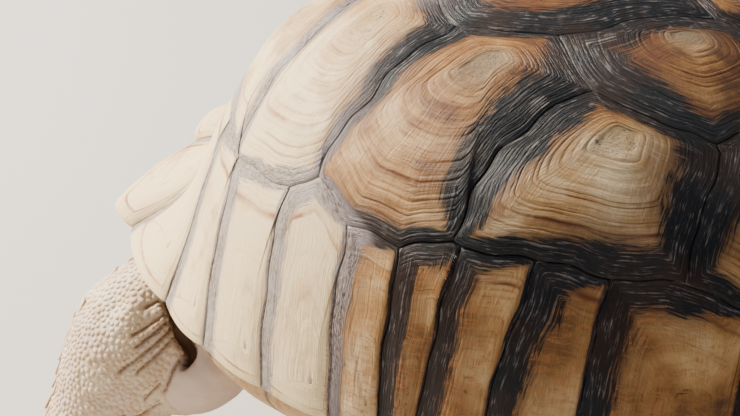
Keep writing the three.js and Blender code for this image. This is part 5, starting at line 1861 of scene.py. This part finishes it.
def tongue(root, normal, along, size, values, on_map):
    """One tongue: half width = width/2 * (1 - t^3)^0.55, raised by lift * t^1.4 and domed."""
    length, width, lift, thick = np.array(TONGUE_SIZE) * [size, size, size**1.5, size]
    across = np.cross(along, normal)
    t, s = np.meshgrid(TONGUE_ROWS, TONGUE_COLUMNS, indexing="ij")
    half = width / 2 * np.maximum(1 - t**3, 0.02) ** 0.55 * (0.82 + 0.3 * t)
    dome_height = 0.07 * width * (1 - s**2) * (1 - 0.4 * t)
    high = -0.9 * thick + (lift + thick) * t**1.4 + dome_height
    top = root + along * (length * (t[..., None] - 0.35)) + across * (half * s)[..., None]
    top = top + normal * high[..., None]
    low = top - normal * (thick * (0.35 + 0.65 * t[..., None]))
    low[:, 1:-1] -= normal * 0.3
    number = np.arange(t.size).reshape(t.shape)
    border = np.concatenate([number[0], number[1:, -1], number[-1, -2::-1], number[-2:0:-1, 0]])
    after = np.roll(border, -1)
    faces = [
        grid_faces(number).reshape(-1, 4),
        grid_faces(number)[..., ::-1].reshape(-1, 4) + t.size,
        np.stack([after, border, border + t.size, after + t.size], -1),
    ]
    points = np.concatenate([top.reshape(-1, 3), low.reshape(-1, 3)])
    numbers = {name: np.full(2 * t.size, value) for name, value in values.items()}
    edge = np.maximum(np.abs(s) ** 4, t**6).ravel()
    numbers["edge"] = np.concatenate([edge * 0.6, np.ones(t.size)])
    patch = np.stack([s.ravel(), (2 * t - 1).ravel()], -1) * BAKE_PATCH / 2
    numbers["unwrap"] = on_map + np.concatenate([patch, patch])
    return points, np.concatenate(faces), NO_TRIANGLES, numbers


def forearm_tongues(leg, random):
    """Staggered rows of tongues over the front and outer side of a forearm, each a spot, its
    direction and a size. Other limbs have none."""
    spots = []
    for row, height in enumerate(FOREARM_ROWS if leg.startswith("fore") else ()):
        for k in range(FOREARM_COLUMNS):
            bearing = -43 + (k + 0.5 * (row % 2)) * 15.5 + random.uniform(-3, 3)
            middle = np.clip(1.25 - abs(bearing - 22) / 70, 0, 1) * smooth(20, 60, height)
            size = mix(SMALLEST_TONGUE, 1.0, middle) * random.uniform(0.88, 1.12)
            spots.append((*leg_spot(leg, height + random.uniform(-2, 2), bearing), size))
    return spots


# %% [markdown]
# The legs, neck and tail are named regions of the skin. Each has its own unwrap: the angle
# round the limb one way and the way along it the other. Scales lie down the legs, back along
# the neck and towards the tail's tip.

# %% Regions of the skin
HIDDEN_HEIGHT = 62.0  # above this the flesh lies inside the dome
NECK_HALF, TAIL_HALF = 62, 42  # half the width of the skin that belongs to each
LIMB_HEIGHT = 190


LIES = {  # the way that the scales of each region lie
    "foreleg_left": (0.25, 0, -1), "foreleg_right": (-0.25, 0, -1),
    "hindleg_left": (0.2, 0, -1), "hindleg_right": (-0.2, 0, -1),
    "neck": (0, 1, 0.2), "tail": (0, 0.6, -1),
}
STEMS = {"neck": (-312, -150, 38), "tail": (190, 275, 20)}  # front, back, height of the middle


def in_region(name, spots):
    """Which of the spots lie on the neck, on the tail, or else on a leg's corner of the body."""
    x, y, z = spots.T
    if name == "neck":
        return (np.abs(x) <= NECK_HALF) & (y < -150) & (y > -312) & (z > -22) & (z < 80)
    if name == "tail":
        return (np.abs(x) <= TAIL_HALF) & (y > 190) & (z < HIDDEN_HEIGHT) & (z > -70)
    rear = name.startswith("hind")
    corner = (x * LEGS[name][1] > 0) & ((y > 40) if rear else (y < -40))
    stem = (np.abs(x) > (TAIL_HALF if rear else NECK_HALF)) | (z < -22) & (y > -290)
    outside = (z < HIDDEN_HEIGHT) & ((z < 10) | (np.hypot(x / 236, y / 300) > 0.5))
    return corner & stem & outside & (z > -GROUND_CLEARANCE + 1.5)


def unwrapped(name, spots):
    """Places on a region's map: the turn round its middle line and the way along it."""
    x, y, z = spots.T
    if name in LEGS:
        stations, side, step = LEGS[name]
        table, height = np.array(stations, float), z + GROUND_CLEARANCE
        middle_x, middle_y = (np.interp(-height, -table[:, 2], table[:, k]) for k in (0, 1))
        turn = np.arctan2(x - middle_x * side, middle_y + step - y)
        along = height / LIMB_HEIGHT
    else:
        low, high, middle = STEMS[name]
        turn, along = np.arctan2(x, z - middle), (y - low) / (high - low)
    shares = np.stack([turn / (2 * np.pi) + 0.5, np.clip(along, 0, 1)], -1)
    return mix(0.02, 0.98, shares)


print(len(LIES), "regions of the skin")

# %% [markdown]
# The skin is looked up for the surface under each tongue's root, so that the tongues
# stand on it where it is folded.

# %% Growing the scales
STREWN_PER_SCALE = 9  # spots tried for each square of the spacing
BARE_FOLD, BARE_POCKET, BARE_TONE = 0.5, 0.6, 2.5  # skin with more than these has no tiles
WALL_SHARES = (0, 0.35, 0.7)  # points of each stretch of a crease that tiles keep off

walls = np.concatenate([
    mix(line[:-1], line[1:], share) for line in all_creases for share in WALL_SHARES
])
skin_tree = BVHTree.FromObject(skin, bpy.context.evaluated_depsgraph_get())
random = np.random.default_rng(77)
tongue_spots = {name: forearm_tongues(name, random) for name in LIES}


def grown_tongue(name, spot, outward, size):
    """A tongue that stands on the skin nearest to a spot, and the spot and radius it takes."""
    root, normal = settle(skin_tree, spot)
    normal = unit(normal * 0.6 + outward * 0.4)
    lie = np.array([LIES[name]]) + random.uniform(-0.15, 0.15, (1, 3))
    along = lie_frame(normal[None], lie)[1][0]
    values = {"fold": 0.0, "pocket": 0.0, "tone": random.uniform(-1.0, 0.2)}
    part = tongue(root, normal, along, size, values, unwrapped(name, root[None])[0])
    return part, (root, 5.2 * size)


def grown_scales(name):
    """All the scales of one region: its tongues, and small tiles between them."""
    spacing = SCALE_SPACING[name]
    spots, normals, marks = strewn(skin, name, STREWN_PER_SCALE / spacing**2, random)
    height = spots[:, 2] + GROUND_CLEARANCE
    gaps = spacing * np.where(name == "neck", 1.0, mix(1.25, 1.0, smooth(4, 22, height)))
    gaps = gaps * (1 + 0.16 * cloud(spots, 22, 31))
    large = [grown_tongue(name, *spot) for spot in tongue_spots[name]]
    bare = (marks["fold"] > BARE_FOLD) | (marks["pocket"] > BARE_POCKET)
    gaps = np.where(bare | (marks["tone"] > BARE_TONE), np.inf, gaps)
    chosen = spaced(spots, gaps, random, [taken for _, taken in large])
    roots, normals, gaps = spots[chosen], normals[chosen], gaps[chosen]
    lie = np.array([LIES[name]]) + random.normal(0, 0.08, (len(roots), 3))
    values = {
        "fold": marks["fold"][chosen] * 0.7, "pocket": marks["pocket"][chosen],
        "tone": random.uniform(-1, 1, len(roots)),
    }
    small = tiles(roots, normals, lie, gaps, values, unwrapped(name, roots))
    points, quads, triangles, values = pooled([part for part, _ in large] + [small])
    points[:, 2] = np.maximum(points[:, 2], -GROUND_CLEARANCE)
    on_map = values.pop("unwrap")
    piece = build_piece(f"scales_{name}", points, quads, triangles, values)
    write_unwrap(piece, on_map)
    print(name, len(roots), "small scales and", len(large), "large ones")
    return piece


scale_pieces = [grown_scales(name) for name in LIES]

# %% [markdown]
# Claws are blunt and worn flat, five on each forefoot and four on each hind foot. Spurs stand
# on the back of the thighs, as this species has them.

# %% Claws and spurs
CLAW_BEARINGS = {"foreleg": [-34, -8, 18, 44, 70], "hindleg": [-26, 4, 34, 64]}
CLAW_LENGTH = 18.0
CLAW_HEIGHTS = (15.5, 5.5)  # over the floor, of its root and its tip
CLAW_SIZE = (7.6, 6.2)  # half width and half thickness
CLAW_BEND, SPUR_BEND = 1.8, 0.12
THIGH_SPURS = [
    (126, 150, 16), (106, 166, 20), (112, 190, 14), (88, 178, 13),
    (118, 172, 9), (96, 152, 9), (100, 196, 8), (132, 172, 8),
]  # height over the floor, bearing and length
CLAW_GIRTHS = [0.8, 0.95, 1.0, 0.98, 0.9, 0.78, 0.6, 0.34]
SPUR_GIRTHS = [0.75, 1.0, 0.92, 0.74, 0.52, 0.3, 0.12]


def spike(root, tip, flat, wide, thick, girths, bend, around=14):
    """A horn-like form: ovals along a path from root to tip that bends upwards in its middle."""
    girths = np.array(girths)
    share = np.linspace(0, 1, len(girths))[:, None]
    path = root + (tip - root) * share + np.array([0, 0, bend]) * 4 * share * (1 - share)
    axis = unit(np.gradient(path, axis=0))
    flat = unit(flat - axis * (axis @ flat)[:, None])
    up = np.cross(axis, flat)
    cosine, sine = circle(full_turn(around)).T[:, None, :, None]
    ring = flat[:, None] * cosine * wide + up[:, None] * sine * thick
    rows = path[:, None] + ring * girths[:, None, None]
    along = np.concatenate([np.repeat(share.ravel(), around), [0, 1]])
    points, quads, triangles = tube(rows[:, ::-1], path[0], path[-1])
    return points, quads, triangles, {"along": along}


def level_way(leg, outward):
    """The level direction across a spike that points outwards from a leg."""
    return np.array([-outward[1], outward[0], 0]) * LEGS[leg][1]


def claw(leg, bearing, random):
    """A claw that points outwards along the floor, its underside kept just over the floor."""
    spot, outward = leg_spot(leg, 13, bearing)
    root = spot - outward * 6
    tip = spot + outward * CLAW_LENGTH * random.uniform(0.78, 0.92)
    root[2], tip[2] = np.array(CLAW_HEIGHTS) - GROUND_CLEARANCE
    form = spike(root, tip, level_way(leg, outward), *CLAW_SIZE, CLAW_GIRTHS, CLAW_BEND)
    form[0][:, 2] = np.maximum(form[0][:, 2], -GROUND_CLEARANCE + 0.2)
    return form


def spur(leg, height, bearing, length, random):
    """A cone that stands out from the thigh and droops a little."""
    spot, outward = leg_spot(leg, height, bearing)
    tip = spot + outward * length * random.uniform(0.9, 1.05) - [0, 0, 0.35 * length]
    girth = 0.36 * length + 1.2
    return spike(spot - outward * 4, tip, level_way(leg, outward), girth, girth * 0.82,
                 SPUR_GIRTHS, SPUR_BEND * length)


random = np.random.default_rng(9)
claws = build_piece("claws", *pooled([
    claw(leg, bearing, random) for leg in LEGS for bearing in CLAW_BEARINGS[leg.split("_")[0]]
]))
spurs = build_piece("spurs", *pooled([
    spur(leg, *form, random) for leg in ("hindleg_left", "hindleg_right") for form in THIGH_SPURS
]))
print("claws and spurs are set")

# %% [markdown]
# Each eye is a ball that looks outwards and a little ahead and up, so the pupil and the iris
# are rings round its outer pole. The lids are a closed hood over it with an almond opening:
# a rolled edge, then skin in fine wrinkles that goes down into the socket all round.

# %% Eyes and lids
EYE_ROWS = 26
EYE_COLUMNS = 36
LID_COLUMNS = 72
LID_GAP = 0.05  # between the ball and the lids
LID_OPENING = (43, 27)  # half angles of the almond, in degrees, along and across
LID_PROFILE = [  # degrees outside the opening, radius, and how deep the fold there is, which is darkened as painted shade
    (0, 7.22, 0.9), (-1.6, 7.5, 0.7), (-1.0, 7.85, 0.25), (2, 8.05, 0), (6, 7.95, 0.3),
    (9, 8.1, 0), (13, 7.95, 0.3), (17, 8.15, 0), (22, 8.0, 0.3), (27, 8.2, 0), (33, 8.05, 0.2),
    (40, 8.2, 0), (50, 8.1, 0.2), (62, 7.9, 0.3), (74, 7.5, 0.5), (70, 6.9, 1), (45, 7.1, 1),
    (20, 7.18, 1),
]


def on_ball(angle, turn):
    """Directions from an angle off the outer pole and a turn round it."""
    angle, turn = np.broadcast_arrays(angle, turn)
    return np.stack([np.cos(angle), np.sin(angle) * np.cos(turn), np.sin(angle) * np.sin(turn)], -1)


def set_in_head(points, side):
    """Places in the eye's own directions, set in the left or the right socket."""
    return pose_head((points + EYE_CENTRE) * [side, 1, 1])


def eye_ball(side):
    """Latitude rows from the outer pole inwards, with the angle from that pole stored."""
    angles = np.linspace(0, np.pi, EYE_ROWS + 2)[1:-1][:, None]
    rows = on_ball(angles, full_turn(EYE_COLUMNS)[None])
    points, quads, triangles = tube(rows, np.array([1.0, 0, 0]), np.array([-1.0, 0, 0]))
    values = {
        "iris": np.arccos(np.clip(points[:, 0], -1, 1)),
        "turned": np.arctan2(points[:, 2], points[:, 1]),
    }
    points = set_in_head(points @ EYE_FRAME * (EYE_RADIUS - LID_GAP), side)
    return points, quads[:, ::side], triangles[:, ::side], values


def lid_rim(side):
    """A closed roll round the opening. Each column is a direction round the eye's outer pole,
    and each row a distance outside the almond and from the eye's centre."""
    turn = full_turn(LID_COLUMNS)
    wide, high = LID_OPENING
    opening = 1 / np.sqrt((np.cos(turn) / wide) ** 2 + (np.sin(turn) / high) ** 2)
    opening = opening * (1 + 0.10 * np.cos(2 * turn) ** 2) - 5 * smooth(0.2, 1.0, np.sin(turn))
    outside, radius, folds = np.array(LID_PROFILE).T[:, :, None]
    angle = np.radians(opening + outside * (0.7 + 0.3 * np.abs(np.sin(turn))))
    grid = on_ball(angle, turn) * radius[..., None]
    number = np.arange(angle.size).reshape(angle.shape)
    down, right = np.roll(number, -1, 0), np.roll(number, -1, 1)
    quads = np.stack([number, down, np.roll(down, -1, 1), right], -1).reshape(-1, 4)
    points = set_in_head(grid.reshape(-1, 3) @ EYE_FRAME, side)
    return points, quads[:, ::side], NO_TRIANGLES, {"fold": np.repeat(folds, LID_COLUMNS)}


eyes = {name: build_piece(f"eye_ball_{name}", *eye_ball(side))
        for side, name in ((1, "left"), (-1, "right"))}
lids = build_piece("eyelids", *pooled([lid_rim(1), lid_rim(-1)]))
print("two eyes with lids")

# %% [markdown]
# Skin and scales share one effect, so that they carry the same colours: pale sand with a
# pink cast, brown in the grooves, painted shade in the folds, and dark orange-brown in the
# pocket under the shell, partly the skin's own colour and partly painted shade.

# %% Skin effect
SAND = colour(0.86, 0.70, 0.50)
BUFF = colour(0.70, 0.50, 0.31)
ROSE = colour(0.78, 0.59, 0.47)
GROOVE = colour(0.46, 0.26, 0.13)
CREASE_SHADE = colour(0.19, 0.070, 0.020)
POCKET_BROWN_AND_SHADE = colour(0.085, 0.027, 0.007)
BEAK_HORN = colour(0.19, 0.12, 0.065)
BEAK_WORN = colour(0.33, 0.23, 0.14)
CLAW_HORN = colour(0.36, 0.26, 0.17)
CLAW_ROOT = colour(0.17, 0.11, 0.07)
PUPIL = colour(0.004, 0.003, 0.003)
IRIS = colour(0.075, 0.032, 0.012)
IRIS_RIM = colour(0.018, 0.010, 0.007)
SOFTNESS = {
    "Specular IOR Level": 0.3, "Subsurface Weight": 0.04,
    "Subsurface Radius": (0.004, 0.002, 0.001),
}


def build_skin(bench, place, fold, pocket, tone, edge):
    """Blotches of sand, buff and rose, darkened in turn by edges, by painted shade in the folds,
    and by the pocket, partly painted shade.
    """
    cloud, grain = bench.noise(place, 26.0, 3.0), bench.noise(place, 240.0, 3.0)
    share = tone * 0.2 + cloud.step(0.35, 0.68) + (grain - 0.5) * 0.8
    flesh = bench.ramp(share, SAND, [(0.55, BUFF)], ROSE)
    flesh = (edge * 0.65).between(flesh, GROOVE)
    # painted shade in the creases, the neck's troughs, the mouth line and the eye sockets
    flesh = (fold * grain.step(0.3, 0.6, 0.7, 1.0)).between(flesh, CREASE_SHADE)
    # the pocket under the shell: dark brown, partly the skin's own colour and partly painted shade
    flesh = (pocket * 0.93).between(flesh, POCKET_BROWN_AND_SHADE)
    height = bench.noise(place, 900.0, 2.0) * 0.4 + grain
    return flesh, height, grain.step(0.3, 0.7, 0.52, 0.78)


skin_effect = effect("sandy_skin", ["Fold", "Pocket", "Tone", "Edge"], build_skin)


def scale_surface(bench):
    """Scales show the skin's own markings."""
    flesh, height, rough = use(bench, skin_effect)
    return {"Base Color": flesh, "Roughness": rough, "Height": height, **SOFTNESS}


def skin_surface(bench):
    """Bare skin, which is the same flesh, with the horn of the beak over it."""
    made = scale_surface(bench)
    beak = bench.number("beak")
    streak = bench.noise(bench.place(), 190.0, 4.0, 0.6)
    beak_colour = streak.step(0.35, 0.65).between(BEAK_HORN, BEAK_WORN)
    made["Base Color"] = beak.between(made["Base Color"], beak_colour)
    made["Roughness"] = made["Roughness"] - beak * 0.25
    return made


def claw_surface(bench):
    """Horn with lengthwise grain, darker at the root and worn pale at the tip."""
    streak = bench.noise(bench.place(), 260.0, 4.0, 0.6)
    share = streak * 0.6 + bench.number("along") - 0.35
    made = share.step(0.0, 0.75).between(CLAW_ROOT, CLAW_HORN)
    return {"Base Color": made, "Roughness": streak.step(0.3, 0.7, 0.38, 0.6), "Height": streak}


def eye_surface(bench):
    """Rings of colour by the angle from the outer pole, under a wet gloss."""
    angle = bench.number("iris")
    rays = bench.put("CombineXYZ", {"X": bench.number("turned") * 7.0, "Y": angle})
    iris = bench.noise(rays, 2.0, 3.0).step(0.35, 0.7).between(IRIS_RIM, IRIS)
    made = angle.step(0.27, 0.31).between(PUPIL, iris)
    made = angle.step(0.60, 0.72).between(made, IRIS_RIM)
    return {"Base Color": made, "Roughness": 0.12, "Coat Weight": 1.0, "Coat Roughness": 0.03}


bare_skin = finish_material("bare_skin", skin_surface, 0.0003)
scaly_skin = finish_material("scaly_skin", scale_surface, 0.00025)
claw_horn = finish_material("claw_horn", claw_surface, 0.0004)
wet_eye = finish_material("wet_eye", eye_surface)
dress(skin, bare_skin, "skin", "torso", "foreleg_left", "foreleg_right", "hindleg_left",
      "hindleg_right", "tail", "neck", "head")
for piece in [*scale_pieces, lids]:
    dress(piece, scaly_skin, "skin")
for piece in (claws, spurs):
    dress(piece, claw_horn, "skin")
for name, ball in eyes.items():
    dress(ball, wet_eye, "eye", f"eye_{name}")

# %% [markdown]
# The stage is plain: a pale floor, a soft sky and three broad lamps. The key light comes from
# ahead and to the left, so the growth rings cast small shadows and the rear flank turns away.

# %% Floor and light
FLOOR_HALF = 6.0
SKY = colour(0.80, 0.86, 1.0)
SKY_STRENGTH = 0.15
MIDDLE = (0, 0, 0.25)  # where the lamps point


def floor_surface(bench):
    """Dull pale grey."""
    return {"Base Color": colour(0.62, 0.60, 0.57), "Roughness": 0.8}


def lamp(name, place, size, power, tint):
    """A square soft lamp at a place in metres, facing the middle of the model."""
    light = bpy.data.lights.new(name, "AREA")
    light.energy, light.size, light.color = power, size, tint
    holder = shown(name, light)
    holder.location = place
    aim = Vector(MIDDLE) - Vector(place)
    holder.rotation_euler = aim.to_track_quat("-Z", "Y").to_euler()


floor_corners = np.array([(-1, -1, 0), (1, -1, 0), (1, 1, 0), (-1, 1, 0)]) * FLOOR_HALF / MM
floor = build_piece("floor", floor_corners - SHIFT, [(0, 1, 2, 3)])
floor.data.materials.append(finish_material("floor_paint", floor_surface))

world = bpy.data.worlds.new("soft_sky")
bpy.context.scene.world = world
world.use_nodes = True
sky = world.node_tree.nodes["Background"].inputs
sky["Color"].default_value, sky["Strength"].default_value = SKY, SKY_STRENGTH
lamp("key_lamp", (0.75, -2.5, 2.0), 0.7, 400, (1.0, 0.93, 0.81))
lamp("top_lamp", (-0.6, 0.2, 2.8), 1.6, 36, (1.0, 0.98, 0.95))
lamp("fill_lamp", (2.2, 1.8, 1.2), 1.8, 5, (0.95, 0.97, 1.0))
print("stage is set")
